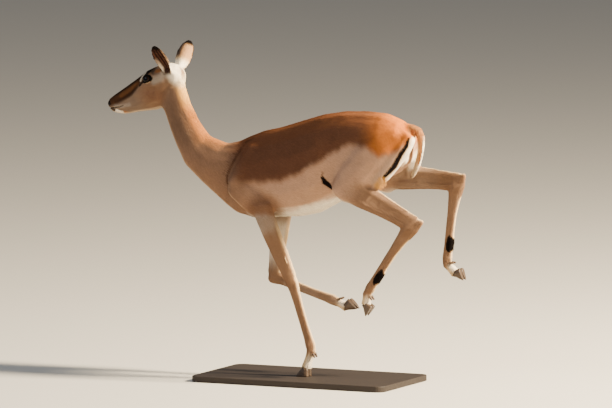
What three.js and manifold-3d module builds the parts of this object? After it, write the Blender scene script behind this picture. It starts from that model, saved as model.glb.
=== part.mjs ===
// A female impala at full gallop, life size, standing on her left forehoof on a flat museum base.
// Millimetres, +Z up. She runs towards -X, her left side faces -Y, and the origin is the centre of
// the base's underside. Every solid is a loft: a row of closed rings, skinned and capped.
import * as THREE from "three";
import { mergeVertices } from "three/addons/utils/BufferGeometryUtils.js";
import Module from "manifold-3d";

const wasm = await Module();
wasm.setup();

const V = (x, y, z) => new THREE.Vector3(x, y, z);

// ---------------------------------------------------------------- driving dimensions
const GAP = 0.3; // left between two neighbouring pieces
const BASE = { length: 700, width: 380, thickness: 20, corner: 30, edge: 2 };
const LEFT = -1;
const RIGHT = 1;

// The skeleton in this stride: where each joint is. Left is the near side, y < 0.
const JOINTS = {
  fore_left: {
    blade: V(-176, -42, 766),
    shoulder: V(-240, -66, 640),
    elbow: V(-134, -76, 566),
    knee: V(-41, -52, 335),
    fetlock: V(22, -38, 110),
    coronet: V(5, -36, 48.3),
  },
  fore_right: {
    blade: V(-176, 42, 766),
    shoulder: V(-240, 66, 640),
    elbow: V(-128, 76, 574),
    knee: V(-158, 60, 332),
    fetlock: V(72, 52, 260),
    coronet: V(112, 51, 246),
  },
  hind_left: {
    hip: V(305, -54, 784),
    ischium: V(373, -44, 815),
    hamstring: V(285, -70, 680),
    stifle: V(150, -88, 650),
    hock: V(392, -70, 540),
    fetlock: V(236, -62, 310),
    coronet: V(232, -60, 272),
  },
  hind_right: {
    hip: V(312, 52, 786),
    ischium: V(360, 46, 810),
    hamstring: V(335, 76, 700),
    stifle: V(212, 88, 664),
    hock: V(494, 66, 667),
    fetlock: V(466, 62, 404),
    coronet: V(500, 61, 374),
  },
};

// How far each foot is turned from standing flat, about the animal's sideways axis, in degrees.
const FOOT_TURN = { fore_left: 0, fore_right: 134, hind_left: 55, hind_right: 109 };

// ---------------------------------------------------------------- lofting
// Extra rows between the given ones, each column on a Catmull-Rom curve.
function fair(rows, steps) {
  const at = (i) => rows[Math.min(Math.max(i, 0), rows.length - 1)];
  const made = [];
  for (let i = 0; i < rows.length - 1; i++)
    for (let k = 0; k < steps; k++) {
      const t = k / steps;
      made.push(
        at(i).map((p1, c) => {
          const [p0, p2, p3] = [at(i - 1)[c], at(i + 1)[c], at(i + 2)[c]];
          return (
            p1 +
            0.5 * t * (p2 - p0 + t * (2 * p0 - 5 * p1 + 4 * p2 - p3 + t * (3 * (p1 - p2) + p3 - p0)))
          );
        }),
      );
    }
  made.push(at(rows.length - 1));
  return made;
}

// The points of one ring. `up` and `side` are unit vectors; high and low are how far the ring reaches
// along up and against it; full is the exponent of each half, 2 for an ellipse, more for a boxier one.
function ringPoints({ centre, up, side, high, low, half, fullHigh = 2, fullLow = 2 }, sides) {
  const power = (v, n) => Math.sign(v) * Math.abs(v) ** (2 / n);
  return Array.from({ length: sides }, (_, i) => {
    const a = (2 * Math.PI * i) / sides;
    const full = Math.sin(a) >= 0 ? fullHigh : fullLow;
    const rise = power(Math.sin(a), full) * (Math.sin(a) >= 0 ? high : low);
    return centre
      .clone()
      .addScaledVector(up, rise)
      .addScaledVector(side, power(Math.cos(a), full) * half);
  });
}

// Skins rows of points, each row a closed ring, and closes both ends with a fan.
function skin(rings) {
  const sides = rings[0].length;
  const points = rings.flat();
  const index = [];
  for (let r = 0; r < rings.length - 1; r++)
    for (let i = 0; i < sides; i++) {
      const [a, b] = [r * sides + i, r * sides + ((i + 1) % sides)];
      index.push(a, b, b + sides, a, b + sides, a + sides);
    }
  for (const [r, turn] of [[0, 1], [rings.length - 1, 0]]) {
    const middle = rings[r].reduce((sum, p) => sum.add(p), V(0, 0, 0)).divideScalar(sides);
    const hub = points.push(middle) - 1;
    for (let i = 0; i < sides; i++) {
      const [a, b] = [r * sides + i, r * sides + ((i + 1) % sides)];
      index.push(hub, turn ? b : a, turn ? a : b);
    }
  }
  const made = new THREE.BufferGeometry().setFromPoints(points);
  made.setIndex(index);
  return made;
}

// A closed mesh as a solid for joining and cutting, turned right side out if it must be.
function solid(geometry) {
  const bare = geometry.clone();
  bare.deleteAttribute("normal");
  bare.deleteAttribute("uv");
  const merged = mergeVertices(bare, 1e-4);
  const make = (triVerts) =>
    new wasm.Manifold(
      new wasm.Mesh({ numProp: 3, vertProperties: merged.attributes.position.array, triVerts }),
    );
  const made = make(new Uint32Array(merged.index.array));
  return made.volume() > 0 ? made : make(new Uint32Array(merged.index.array).reverse());
}

function geometryOf(body) {
  const mesh = body.getMesh();
  const made = new THREE.BufferGeometry();
  made.setAttribute("position", new THREE.BufferAttribute(mesh.vertProperties, 3));
  made.setIndex(new THREE.BufferAttribute(mesh.triVerts, 1));
  return made;
}

// Rings that round off an end: the last ring again, smaller and further out, `reach` past it.
function dome(ring, outwards, reach) {
  return [[0.45, 0.87], [0.8, 0.58]].map(([way, size]) => ({
    ...ring,
    centre: ring.centre.clone().addScaledVector(outwards, reach * way),
    high: ring.high * size,
    low: ring.low * size,
    half: ring.half * size,
  }));
}

function loft(rings, { sides, start = 0, end = 0 }) {
  const first = rings[0];
  const last = rings[rings.length - 1];
  const ahead = (a, b) => b.centre.clone().sub(a.centre).normalize();
  const all = [
    ...(start ? dome(first, ahead(rings[1], first), start).reverse() : []),
    ...rings,
    ...(end ? dome(last, ahead(rings[rings.length - 2], last), end) : []),
  ];
  return solid(skin(all.map((r) => ringPoints(r, sides))));
}

// A loft in the animal's middle plane. Each row is the upper edge's x, z, the lower edge's x, z, the
// half width, how far up the ring is widest (0 to 1), and how full its upper and lower halves are.
function profile(rows, { steps, grow = 0, turn = (p) => p, ...ends }) {
  const rings = fair(rows, steps).map(([hx, hz, lx, lz, half, level, fullHigh, fullLow]) => {
    const low = V(lx, 0, lz);
    const up = V(hx, 0, hz).sub(low);
    const tall = up.length();
    up.normalize();
    return {
      centre: low.addScaledVector(up, tall * level),
      up,
      side: V(0, 1, 0),
      high: tall * (1 - level) + grow,
      low: tall * level + grow,
      half: half + grow,
      fullHigh,
      fullLow,
    };
  });
  return loft(rings.map(turn), ends);
}

// The directions of one bone: along it, to its side (towards +Y), and to its front.
function boneFrame(from, to) {
  const along = to.clone().sub(from);
  const length = along.length();
  along.normalize();
  const side = V(0, 1, 0).addScaledVector(along, -along.y).normalize();
  return { along, length, side, front: side.clone().cross(along) };
}

// A loft along one bone. Each row is how far along the bone, 0 at `from` and 1 at `to`, how far the
// flesh reaches in front of the bone and behind it, and its half width.
function limb(from, to, rows, { steps = 1, grow = 0, sides, ...ends }) {
  const { along, length, side, front } = boneFrame(from, to);
  const rings = fair(rows, steps).map(([t, high, low, half]) => ({
    centre: from.clone().addScaledVector(along, t * length),
    up: front,
    side,
    high: high + grow,
    low: low + grow,
    half: half + grow,
  }));
  return loft(rings, { sides, ...ends });
}

const join = (...bodies) => bodies.reduce((sum, b) => sum.add(b));

// ---------------------------------------------------------------- trunk, neck, tail
// upper x, z, lower x, z, half width, level of the widest point, fullness above and below
const TRUNK = [
  [-272, 780, -306, 574, 52, 0.5, 1.9, 2.0],
  [-225, 803, -262, 545, 68, 0.48, 1.7, 2.0],
  [-165, 827, -190, 529, 82, 0.48, 1.7, 2.0],
  [-100, 842, -105, 539, 95, 0.48, 1.8, 2.2],
  [-30, 864, -30, 543, 105, 0.48, 1.8, 2.2],
  [50, 889, 42, 559, 110, 0.48, 1.9, 2.2],
  [130, 903, 118, 600, 104, 0.5, 2.0, 2.1],
  [210, 906, 195, 642, 94, 0.52, 2.0, 2.0],
  [280, 901, 262, 675, 88, 0.55, 2.0, 2.0],
  [335, 880, 318, 700, 76, 0.55, 2.0, 2.0],
  [370, 848, 356, 730, 54, 0.5, 2.0, 2.0],
];
const NECK = [
  [-464, 992, -545, 905, 36, 0.5, 2.0, 2.0],
  [-453, 955, -524, 860, 38, 0.5, 2.0, 2.0],
  [-436, 905, -507, 814, 40, 0.5, 2.0, 2.0],
  [-404, 848, -486, 766, 45, 0.48, 1.9, 2.0],
  [-365, 800, -450, 698, 55, 0.46, 1.8, 2.0],
  [-300, 779, -386, 642, 67, 0.45, 1.8, 2.0],
  [-215, 796, -300, 572, 66, 0.45, 1.8, 2.0],
];
const TAIL = [
  [346, 872, 338, 836, 18, 0.5, 2, 2],
  [380, 867, 362, 834, 17.5, 0.5, 2, 2],
  [404, 856, 378, 832, 17, 0.5, 2, 2],
  [417, 828, 388, 820, 17, 0.5, 2, 2],
  [416, 795, 390, 793, 16, 0.5, 2, 2],
  [409, 759, 386, 760, 14, 0.5, 2, 2],
  [398, 725, 377, 729, 12, 0.5, 2, 2],
  [381, 696, 366, 703, 8, 0.5, 2, 2],
];

// ---------------------------------------------------------------- head
const HEAD = [
  [-731, 902, -729, 880, 15, 0.5, 2.2, 2.2],
  [-723, 914, -722, 868, 21, 0.52, 2.3, 2.3],
  [-706, 926, -702, 861, 24, 0.52, 2.3, 2.3],
  [-684, 941, -676, 858, 24, 0.5, 2.2, 2.2],
  [-660, 957, -648, 862, 26, 0.52, 2.1, 2.0],
  [-636, 974, -618, 868, 30, 0.56, 2.1, 1.9],
  [-612, 991, -588, 872, 37, 0.62, 2.1, 1.8],
  [-588, 1006, -560, 876, 44, 0.66, 2.1, 1.7],
  [-562, 1018, -533, 884, 46, 0.64, 2.0, 1.7],
  [-534, 1029, -512, 908, 45, 0.6, 2.0, 1.8],
  [-508, 1036, -490, 940, 42, 0.55, 2.0, 2.0],
  [-484, 1032, -470, 952, 37, 0.52, 2.0, 2.0],
  [-466, 1016, -458, 968, 27, 0.5, 2.0, 2.0],
];
const EYE = { at: V(-574, -35, 980), axis: V(-0.22, -0.96, 0.16), radius: 16 };
const ORBIT = { at: V(-571, -32, 983), size: V(25, 17, 20) };
const EARS = {
  left: { root: V(-500, -36, 1004), tip: V(-513, -113, 1100), facing: V(-0.08, -0.98, 0) },
  right: { root: V(-496, 36, 1004), tip: V(-491, 113, 1102), facing: V(-0.3, 0.95, 0) },
};
// along the ear, half width, depth of the cup, wall
const EAR = [
  [0.0, 14, 20, 7],
  [0.15, 19, 20, 6],
  [0.32, 25, 17, 5],
  [0.5, 27, 13, 4.6],
  [0.68, 25.5, 9, 4.2],
  [0.84, 20, 5, 4],
  [0.95, 11.5, 2, 3.6],
  [1.0, 5, 0.6, 3],
];

// ---------------------------------------------------------------- legs
// along the bone, in front of it, behind it, half width
const BLADE = [
  [0.0, 30, 44, 16],
  [0.35, 38, 56, 22],
  [0.7, 38, 56, 27],
  [1.0, 36, 44, 28],
];
const UPPER_ARM = [
  [0.0, 38, 38, 27],
  [0.4, 42, 50, 31],
  [0.8, 42, 48, 29],
  [1.0, 30, 34, 22],
];
const FOREARM = [
  [-0.06, 36, 38, 26],
  [0.08, 39, 38, 26],
  [0.2, 38, 34, 25],
  [0.44, 34, 31, 21],
  [0.64, 31, 29, 18.5],
  [0.81, 26, 26, 17],
  [0.93, 25, 25, 18],
  [1.0, 19, 17, 13],
];
const FORE_CANNON = [
  [-0.02, 24, 22, 18],
  [0.06, 21, 22, 17],
  [0.14, 17, 20, 15],
  [0.34, 15, 18, 12],
  [0.66, 13.5, 18, 11.5],
  [0.84, 13, 21, 13],
  [0.94, 15.5, 23.5, 15],
  [1.02, 12, 17, 11],
];
const FORE_PASTERN = [
  [-0.05, 15, 21, 15],
  [0.3, 12, 16, 14],
  [0.65, 14, 16, 17],
  [1.0, 18, 20, 20],
];
const THIGH = [
  [-0.2, 62, 30, 34],
  [0.0, 90, 48, 44],
  [0.2, 98, 56, 46],
  [0.4, 92, 60, 46],
  [0.6, 76, 66, 43],
  [0.8, 58, 68, 38],
  [1.0, 40, 60, 33],
];
const HAMSTRING = [
  [-0.08, 40, 27, 26],
  [0.16, 54, 34, 36],
  [0.57, 56, 31, 36],
  [0.86, 50, 25, 32],
  [1.05, 42, 15, 28],
];
const GASKIN = [
  [0.0, 30, 58, 33],
  [0.14, 29, 65, 33],
  [0.32, 26, 68, 30],
  [0.55, 21, 57, 22],
  [0.78, 20, 49, 16],
  [0.93, 23, 45, 15],
  [1.06, 4, 42, 12],
];
// from the middle of the hock to its point
const HEEL = [
  [0.0, 40, 40, 14],
  [0.5, 24, 24, 11],
  [0.88, 8, 8, 8],
];
const HEEL_REACH = 56;
const HIND_CANNON = [
  [-0.09, 6, 38, 11],
  [0.0, 20, 39, 16],
  [0.08, 21, 34, 17],
  [0.18, 18, 27, 15],
  [0.38, 16, 19, 12],
  [0.78, 15.5, 16.5, 11.5],
  [0.93, 16.5, 20, 14.5],
  [1.01, 12, 16, 11],
];
const HIND_PASTERN = [
  [-0.05, 15, 20, 14.5],
  [0.3, 13, 17, 14],
  [0.65, 14, 17, 16],
  [1.0, 17, 19, 19],
];

const bone = (from, to, rows, grow, ends) => limb(from, to, rows, { steps: 1, grow, ...ends });

function foreLeg({ blade, shoulder, elbow, knee, fetlock, coronet }, grow = 0) {
  return [
    bone(blade, shoulder, BLADE, grow, { sides: 8, start: 16 }),
    bone(shoulder, elbow, UPPER_ARM, grow, { sides: 8, start: 24 }),
    bone(elbow, knee, FOREARM, grow, { sides: 8, start: 18 }),
    bone(knee, fetlock, FORE_CANNON, grow, { sides: 8, start: 16, end: 5 }),
    bone(fetlock, coronet, FORE_PASTERN, grow, { sides: 8 }),
  ];
}

function hindLeg({ hip, ischium, hamstring, stifle, hock, fetlock, coronet }, grow = 0) {
  const shin = boneFrame(stifle, hock).along;
  const outwards = shin.sub(boneFrame(hock, fetlock).along).normalize();
  const heel = hock.clone().addScaledVector(outwards, HEEL_REACH);
  return [
    bone(hip, stifle, THIGH, grow, { sides: 12, start: 40, end: 26 }),
    bone(ischium, hamstring, HAMSTRING, grow, { sides: 8, start: 16, end: 20 }),
    bone(stifle, hock, GASKIN, grow, { sides: 8 }),
    bone(hock, heel, HEEL, grow, { sides: 6, end: 4 }),
    bone(hock, fetlock, HIND_CANNON, grow, { sides: 8, end: 5 }),
    bone(fetlock, coronet, HIND_PASTERN, grow, { sides: 8 }),
  ];
}

const legOf = (key, grow) => (key.startsWith("fore") ? foreLeg : hindLeg)(JOINTS[key], grow);

// ---------------------------------------------------------------- feet
// down the claw, reach to the toe, reach to the heel, half width
const CLAW = {
  fore: {
    height: 28,
    apart: 11.2,
    rows: [
      [-0.25, 8, 11, 8],
      [0.1, 14, 13, 9.2],
      [0.5, 23, 13, 10],
      [1.0, 33, 14, 10.2],
    ],
  },
  hind: {
    height: 25,
    apart: 10.4,
    rows: [
      [-0.25, 8, 11, 7.5],
      [0.1, 12, 12, 8.6],
      [0.5, 21, 12, 9.3],
      [1.0, 31, 12.5, 9.5],
    ],
  },
};
const DEWCLAW = { length: 13, half: 4.4, apart: 9, behind: 14.5, below: 8 };

// Where a foot's toe and its sole point, turned about the sideways axis from standing flat.
function footFrame(key) {
  const angle = THREE.MathUtils.degToRad(FOOT_TURN[key]);
  const spin = (v) => v.applyAxisAngle(V(0, -1, 0), angle);
  return { toe: spin(V(-1, 0, 0)), down: spin(V(0, 0, -1)) };
}

// One half of a cloven hoof; side is -1 or 1 along Y.
function claw(key, side) {
  const { height, apart, rows } = CLAW[key.slice(0, 4)];
  const { toe, down } = footFrame(key);
  const rings = rows.map(([t, high, low, half]) => ({
    centre: JOINTS[key].coronet
      .clone()
      .addScaledVector(down, height * t)
      .add(V(0, side * (apart - (rows[3][3] - half) * 0.6), 0)),
    up: toe,
    side: V(0, 1, 0),
    high,
    low,
    half,
    fullHigh: 1.55,
    fullLow: 2.2,
  }));
  return loft(rings, { sides: 8 });
}

// One of the two small horny spurs at the back of the fetlock.
function dewclaw(key, side) {
  const { fetlock, coronet } = JOINTS[key];
  const { along, front } = boneFrame(fetlock, coronet);
  const from = fetlock
    .clone()
    .addScaledVector(along, DEWCLAW.below)
    .addScaledVector(front, -DEWCLAW.behind)
    .add(V(0, side * DEWCLAW.apart, 0));
  const aim = along.clone().multiplyScalar(0.75).addScaledVector(front, -0.66).normalize();
  const to = from.clone().addScaledVector(aim, DEWCLAW.length);
  const { half } = DEWCLAW;
  const rows = [
    [0, half, half, half],
    [1, half * 0.7, half * 0.7, half * 0.65],
  ];
  return bone(from, to, rows, 0, { sides: 6, end: 3 });
}

// ---------------------------------------------------------------- ears and eyes
function ear({ root, tip, facing }, grow = 0) {
  const along = tip.clone().sub(root);
  const length = along.length();
  along.normalize();
  const open = facing.clone().addScaledVector(along, -along.dot(facing)).normalize();
  const across = along.clone().cross(open);
  const columns = 5;
  const rings = EAR.map(([t, half, cup, wall]) => {
    const at = (s, lift) =>
      root
        .clone()
        .addScaledVector(along, t * length)
        .addScaledVector(across, s * (half + grow))
        .addScaledVector(open, lift - cup * (1 - s * s));
    const line = Array.from({ length: columns + 1 }, (_, i) => (2 * i) / columns - 1);
    const back = line.map((s) => at(s, -grow));
    const front = line.map((s) => at(s, grow + wall * (1 - 0.55 * Math.abs(s)))).reverse();
    return [...back, ...front];
  });
  return solid(skin(rings));
}

// An eyeball's outer part: a sphere cut off flat behind its middle. side is -1 or 1 along Y.
function eyeball(side, grow = 0) {
  const flip = V(1, -side, 1);
  const axis = EYE.axis.clone().multiply(flip).normalize();
  const across = V(0, 0, 1).addScaledVector(axis, -axis.z).normalize();
  const radius = EYE.radius + grow;
  const rings = [-30, -2, 26, 50, 74].map((degrees, i) => {
    const a = THREE.MathUtils.degToRad(degrees);
    const r = radius * Math.cos(a);
    return {
      centre: EYE.at
        .clone()
        .multiply(flip)
        .addScaledVector(axis, radius * Math.sin(a) - (i ? 0 : grow)),
      up: across,
      side: axis.clone().cross(across),
      high: r,
      low: r,
      half: r,
    };
  });
  return loft(rings, { sides: 10 });
}

function ellipsoid({ at, size }, side, grow) {
  const made = new THREE.SphereGeometry(1, 8, 6);
  made.scale(size.x + grow, size.y + grow, size.z + grow);
  made.translate(at.x, at.y * -side, at.z);
  return solid(made);
}

// ---------------------------------------------------------------- the body in one piece
const makeTrunk = (grow = 0) => profile(TRUNK, { steps: 1, sides: 16, grow, start: 30, end: 14 });
const makeNeck = (grow = 0) => profile(NECK, { steps: 1, sides: 16, grow, start: 8, end: 20 });
const makeHead = (grow = 0) =>
  join(
    profile(HEAD, { steps: 1, sides: 16, grow, start: 8, end: 4 }),
    ...[LEFT, RIGHT].map((side) => ellipsoid(ORBIT, side, grow)),
  );
const makeTail = () => profile(TAIL, { steps: 1, sides: 8, start: 8, end: 14 });

// ---------------------------------------------------------------- cutting and showing
const root = new THREE.Group();
function show(name, body, material) {
  const [biggest] = body.decompose().sort((a, b) => b.volume() - a.volume());
  const mesh = new THREE.Mesh(geometryOf(biggest), material.clone());
  mesh.name = name;
  root.add(mesh);
}

// A box for cutting. It starts at `from` and runs `length` along; `reach` is how far it goes in front,
// behind, to -Y and to +Y.
function block(from, along, length, reach, grow) {
  const side = V(0, 1, 0).addScaledVector(along, -along.y).normalize();
  const front = side.clone().cross(along);
  const [ahead, behind, left, right] = reach.map((r) => r + grow);
  const ring = (t) =>
    [[ahead, right], [ahead, -left], [-behind, -left], [-behind, right]].map(([f, s]) =>
      from
        .clone()
        .addScaledVector(along, t)
        .addScaledVector(front, f)
        .addScaledVector(side, s),
    );
  return solid(skin([ring(-grow), ring(length)]));
}

const coat = new THREE.MeshStandardMaterial({ color: 0xb07845, roughness: 0.75, metalness: 0 });
const saddle = new THREE.MeshStandardMaterial({ color: 0x8a4a24, roughness: 0.75, metalness: 0 });
const horn = new THREE.MeshStandardMaterial({ color: 0x2b2724, roughness: 0.5, metalness: 0 });
const eyes = new THREE.MeshStandardMaterial({ color: 0x120b08, roughness: 0.1, metalness: 0 });
const plinth = new THREE.MeshStandardMaterial({ color: 0x3a332c, roughness: 0.6, metalness: 0 });

const keys = Object.keys(JOINTS);
let body = join(makeTrunk(), makeNeck(), makeHead(), ...keys.flatMap((key) => legOf(key, 0)));

// Takes the flesh inside a block off the body as a piece of its own, leaving a gap.
function take(name, from, along, length, reach, material = coat) {
  show(name, body.intersect(block(from, along, length, reach, 0)), material);
  body = body.subtract(block(from, along, length, reach, GAP));
}

// The same across a bone: `at` is where along it, and the piece is everything beyond.
function takeBeyond(name, from, to, at, reach) {
  const { along, length } = boneFrame(from, to);
  take(name, from.clone().addScaledVector(along, at * length), along, length * 1.6 + 60, reach);
}

function showFeet(key) {
  const [fetlockFlesh, pasternFlesh] = legOf(key, GAP).slice(-2);
  for (const side of [LEFT, RIGHT]) {
    const where = side === Math.sign(JOINTS[key].coronet.y) ? "outer" : "inner";
    show(`hoof_${key}_${where}`, claw(key, side).subtract(pasternFlesh), horn);
    const spur = dewclaw(key, side).subtract(join(fetlockFlesh, pasternFlesh));
    show(`dewclaw_${key}_${where}`, spur, horn);
  }
}

function showLeg(key) {
  const { stifle, elbow, knee, hock, fetlock, coronet } = JOINTS[key];
  const narrow = [60, 60, 42, 42];
  takeBeyond(`pastern_${key}`, fetlock, coronet, 0.32, narrow);
  if (elbow) {
    takeBeyond(`cannon_${key}`, knee, fetlock, 0.1, narrow);
    takeBeyond(`forearm_${key}`, elbow, knee, 0.2, narrow);
    return;
  }
  takeBeyond(`cannon_${key}`, hock, fetlock, 0.14, [60, 70, 42, 42]);
  takeBeyond(`gaskin_${key}`, stifle, hock, 0.36, [60, 85, 42, 42]);
  const haunch = (grow) => join(...legOf(key, grow).slice(0, 3));
  show(`thigh_${key}`, body.intersect(haunch(0)), coat);
  body = body.subtract(haunch(GAP));
}

function showHead() {
  for (const [word, side] of [["left", LEFT], ["right", RIGHT]]) {
    show(`eye_${word}`, eyeball(side), eyes);
    body = body.subtract(eyeball(side, GAP));
    show(`ear_${word}`, ear(EARS[word]).subtract(join(makeHead(GAP), makeNeck(GAP))), coat);
  }
  take("head", V(-496, 0, 935), V(-0.85, 0, 0.53).normalize(), 400, [250, 250, 130, 130]);
  take("neck", V(-283, 0, 700), V(-0.894, 0, 0.447).normalize(), 500, [200, 230, 130, 130]);
}

function showTail() {
  const haunches = ["hind_left", "hind_right"].flatMap((key) => legOf(key, GAP).slice(0, 2));
  show("tail", makeTail().subtract(join(makeTrunk(GAP), ...haunches)), saddle);
}

function showBase() {
  const { length, width, thickness, corner, edge } = BASE;
  const outline = new THREE.Shape();
  const [x, y] = [length / 2 - edge - corner, width / 2 - edge - corner];
  outline.absarc(x, y, corner, 0, Math.PI / 2);
  outline.absarc(-x, y, corner, Math.PI / 2, Math.PI);
  outline.absarc(-x, -y, corner, Math.PI, 1.5 * Math.PI);
  outline.absarc(x, -y, corner, 1.5 * Math.PI, 2 * Math.PI);
  outline.closePath();
  const plate = new THREE.ExtrudeGeometry(outline, {
    depth: thickness - 2 * edge,
    bevelThickness: edge,
    bevelSize: edge,
    bevelSegments: 1,
    curveSegments: 3,
  });
  plate.translate(0, 0, edge);
  show("stand_base", solid(plate), plinth);
}

showHead();
for (const key of keys) {
  showFeet(key);
  showLeg(key);
}
showTail();
show("trunk", body, saddle);
showBase();

export default root;
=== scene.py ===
"""A life-size female impala at full gallop, with skin, coat, eyes, hooves and base."""

import math

import bmesh
import bpy
import numpy as np
from bpy.props import FloatProperty, FloatVectorProperty, IntProperty, PointerProperty
from mathutils import Matrix, Vector
from mathutils.bvhtree import BVHTree


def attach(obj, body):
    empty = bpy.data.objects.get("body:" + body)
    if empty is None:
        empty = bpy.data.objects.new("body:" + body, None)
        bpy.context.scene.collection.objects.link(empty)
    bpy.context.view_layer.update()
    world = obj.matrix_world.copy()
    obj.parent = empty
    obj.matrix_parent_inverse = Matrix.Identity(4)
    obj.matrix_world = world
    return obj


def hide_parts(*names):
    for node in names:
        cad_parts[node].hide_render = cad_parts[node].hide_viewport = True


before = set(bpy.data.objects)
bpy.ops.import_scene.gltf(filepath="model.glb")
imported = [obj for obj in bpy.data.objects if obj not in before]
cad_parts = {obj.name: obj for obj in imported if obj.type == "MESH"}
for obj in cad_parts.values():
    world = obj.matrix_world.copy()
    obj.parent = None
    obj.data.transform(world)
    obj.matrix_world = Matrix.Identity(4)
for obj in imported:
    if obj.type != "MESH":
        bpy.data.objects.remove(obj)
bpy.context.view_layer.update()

bl_info = {
    "name": "Impala in Full Gallop",
    "version": (1, 0, 0),
    "blender": (4, 5, 0),
    "location": "3D View > Sidebar > Impala",
    "description": "Builds a life-size running female impala on a museum base",
    "category": "Add Mesh",
}

FLESH = sorted(
    name
    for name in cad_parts
    if not name.startswith(("hoof", "dewclaw", "eye", "stand"))
)


def mm(*values):
    """Millimetres to metres, as an array."""
    return np.array(values, dtype=float) / 1000.0


# The joints of each leg, from the body down. Left is y < 0.
JOINTS = {
    "fore_left": {
        "blade": mm(-176, -42, 766), "shoulder": mm(-240, -66, 640), "elbow": mm(-134, -76, 566),
        "knee": mm(-41, -52, 335), "fetlock": mm(22, -38, 110), "coronet": mm(5, -36, 48),
    },
    "fore_right": {
        "blade": mm(-176, 42, 766), "shoulder": mm(-240, 66, 640), "elbow": mm(-128, 76, 574),
        "knee": mm(-158, 60, 332), "fetlock": mm(72, 52, 260), "coronet": mm(112, 51, 246),
    },
    "hind_left": {
        "hip": mm(305, -54, 784), "stifle": mm(150, -88, 650), "hock": mm(392, -70, 540),
        "fetlock": mm(236, -62, 310), "coronet": mm(232, -60, 272),
    },
    "hind_right": {
        "hip": mm(312, 52, 786), "stifle": mm(212, 88, 664), "hock": mm(494, 66, 667),
        "fetlock": mm(466, 62, 404), "coronet": mm(500, 61, 374),
    },
}
EYE = {"at": mm(-574, 35, 980), "axis": (-0.22, 0.96, 0.16), "radius": 0.016}
# Root, tip and the way that the opening faces, for the left ear (-1) and the right (1).
EARS = {
    -1: (mm(-500, -36, 1004), mm(-513, -113, 1100), (-0.08, -0.98, 0.0)),
    1: (mm(-496, 36, 1004), mm(-491, 113, 1102), (-0.3, 0.95, 0.0)),
}
SIDES = (-1, 1)
# The middle of the tail in side view: x and z in millimetres.
TAIL = [(352, 852), (378, 850), (396, 840), (403, 820), (403, 795), (398, 760), (388, 727), (374, 700)]


# ------------------------------------------------------------------ settings
def colour_setting(name, description, default):
    """A colour that the sidebar shows."""
    return FloatVectorProperty(
        name=name, description=description, subtype="COLOR", default=default, min=0, max=1
    )


class ImpalaSettings(bpy.types.PropertyGroup):
    voxel: FloatProperty(
        name="Skin detail", description="Cell size the skin is rebuilt at",
        default=0.003, min=0.002, max=0.008, unit="LENGTH",
    )
    coat_depth: FloatProperty(
        name="Coat depth", description="How far the skin of the trunk lies under the coat's tips",
        default=0.004, min=0.0, max=0.01, unit="LENGTH",
    )
    hair_length: FloatProperty(
        name="Coat length", description="Length of a lock of coat on the trunk",
        default=0.012, min=0.004, max=0.03, unit="LENGTH",
    )
    locks: IntProperty(
        name="Locks", description="How many short locks the coat has",
        default=250000, min=1000, max=330000,
    )
    saddle: colour_setting("Saddle", "Red-brown of the back", (0.38, 0.25, 0.18))
    fawn: colour_setting("Fawn", "Pale fawn of the flanks and legs", (0.69, 0.54, 0.435))
    white: colour_setting("White", "White of the belly, rump and chin", (0.90, 0.845, 0.76))
    black: colour_setting("Black", "Black of the stripes and tufts", (0.07, 0.05, 0.045))
    base_colour: colour_setting("Base", "Stain of the base board", (0.17, 0.14, 0.12))


def settings():
    return bpy.context.scene.impala


# ------------------------------------------------------------------ shader maths
class Value:
    """A shader socket that adds Math nodes when it is used in arithmetic."""

    def __init__(self, tree, socket):
        self.tree, self.socket = tree, socket

    def _math(self, operation, other):
        node = self.tree.nodes.new("ShaderNodeMath")
        node.operation = operation
        for slot, item in zip(node.inputs, (self, other)):
            if isinstance(item, Value):
                self.tree.links.new(item.socket, slot)
            else:
                slot.default_value = item
        return Value(self.tree, node.outputs[0])

    def __add__(self, other):
        return self._math("ADD", other)

    def __sub__(self, other):
        return self._math("SUBTRACT", other)

    def __mul__(self, other):
        return self._math("MULTIPLY", other)

    __radd__ = __add__


class Material:
    """A node material on one principled shader."""

    def __init__(self, name, **constants):
        self.data = bpy.data.materials.new(name)
        self.data.use_nodes = True
        self.tree = self.data.node_tree
        self.shader = self.tree.nodes["Principled BSDF"]
        for socket, value in constants.items():
            self.shader.inputs[socket.replace("_", " ")].default_value = value

    def node(self, kind, options=None, **inputs):
        """Adds a node; returns its outputs as a dict of values by name."""
        made = self.tree.nodes.new(kind)
        for key, value in (options or {}).items():
            setattr(made, key, value)
        for key, value in inputs.items():
            slot = made.inputs[int(key[1:])] if key[0] == "_" else made.inputs[key.replace("_", " ")]
            if isinstance(value, Value):
                self.tree.links.new(value.socket, slot)
            else:
                slot.default_value = value
        return {o.name: Value(self.tree, o) for o in made.outputs}

    def feed(self, socket, value):
        self.tree.links.new(value.socket, self.shader.inputs[socket])

    def place(self):
        return self.node("ShaderNodeTexCoord")["Object"]

    def noise(self, scale, detail=3.0, roughness=0.5, at=None):
        at = at or self.place()
        made = self.node(
            "ShaderNodeTexNoise", None, Vector=at, Scale=scale, Detail=detail, Roughness=roughness
        )
        return made["Fac"] if "Fac" in made else made["Factor"]

    def vector(self, operation, a, b):
        """A vector maths node's outputs."""
        return self.node("ShaderNodeVectorMath", {"operation": operation}, _0=a, _1=b)

    def between(self, factor, dark, pale):
        """A colour between two scene-linear ones by a number socket."""
        options = {"data_type": "RGBA"}
        made = self.node("ShaderNodeMix", options, _0=factor, _6=(*dark, 1), _7=(*pale, 1))
        return Value(self.tree, made["Result"].socket.node.outputs[2])

    def tint(self, colour, factor):
        """Multiplies a colour socket by a number socket."""
        mixed = self.node("ShaderNodeVectorMath", {"operation": "SCALE"}, _0=colour, Scale=factor)
        return mixed["Vector"]

    def bump(self, height, distance):
        made = self.node("ShaderNodeBump", None, Strength=1.0, Distance=distance, Height=height)
        self.feed("Normal", made["Normal"])


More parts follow.
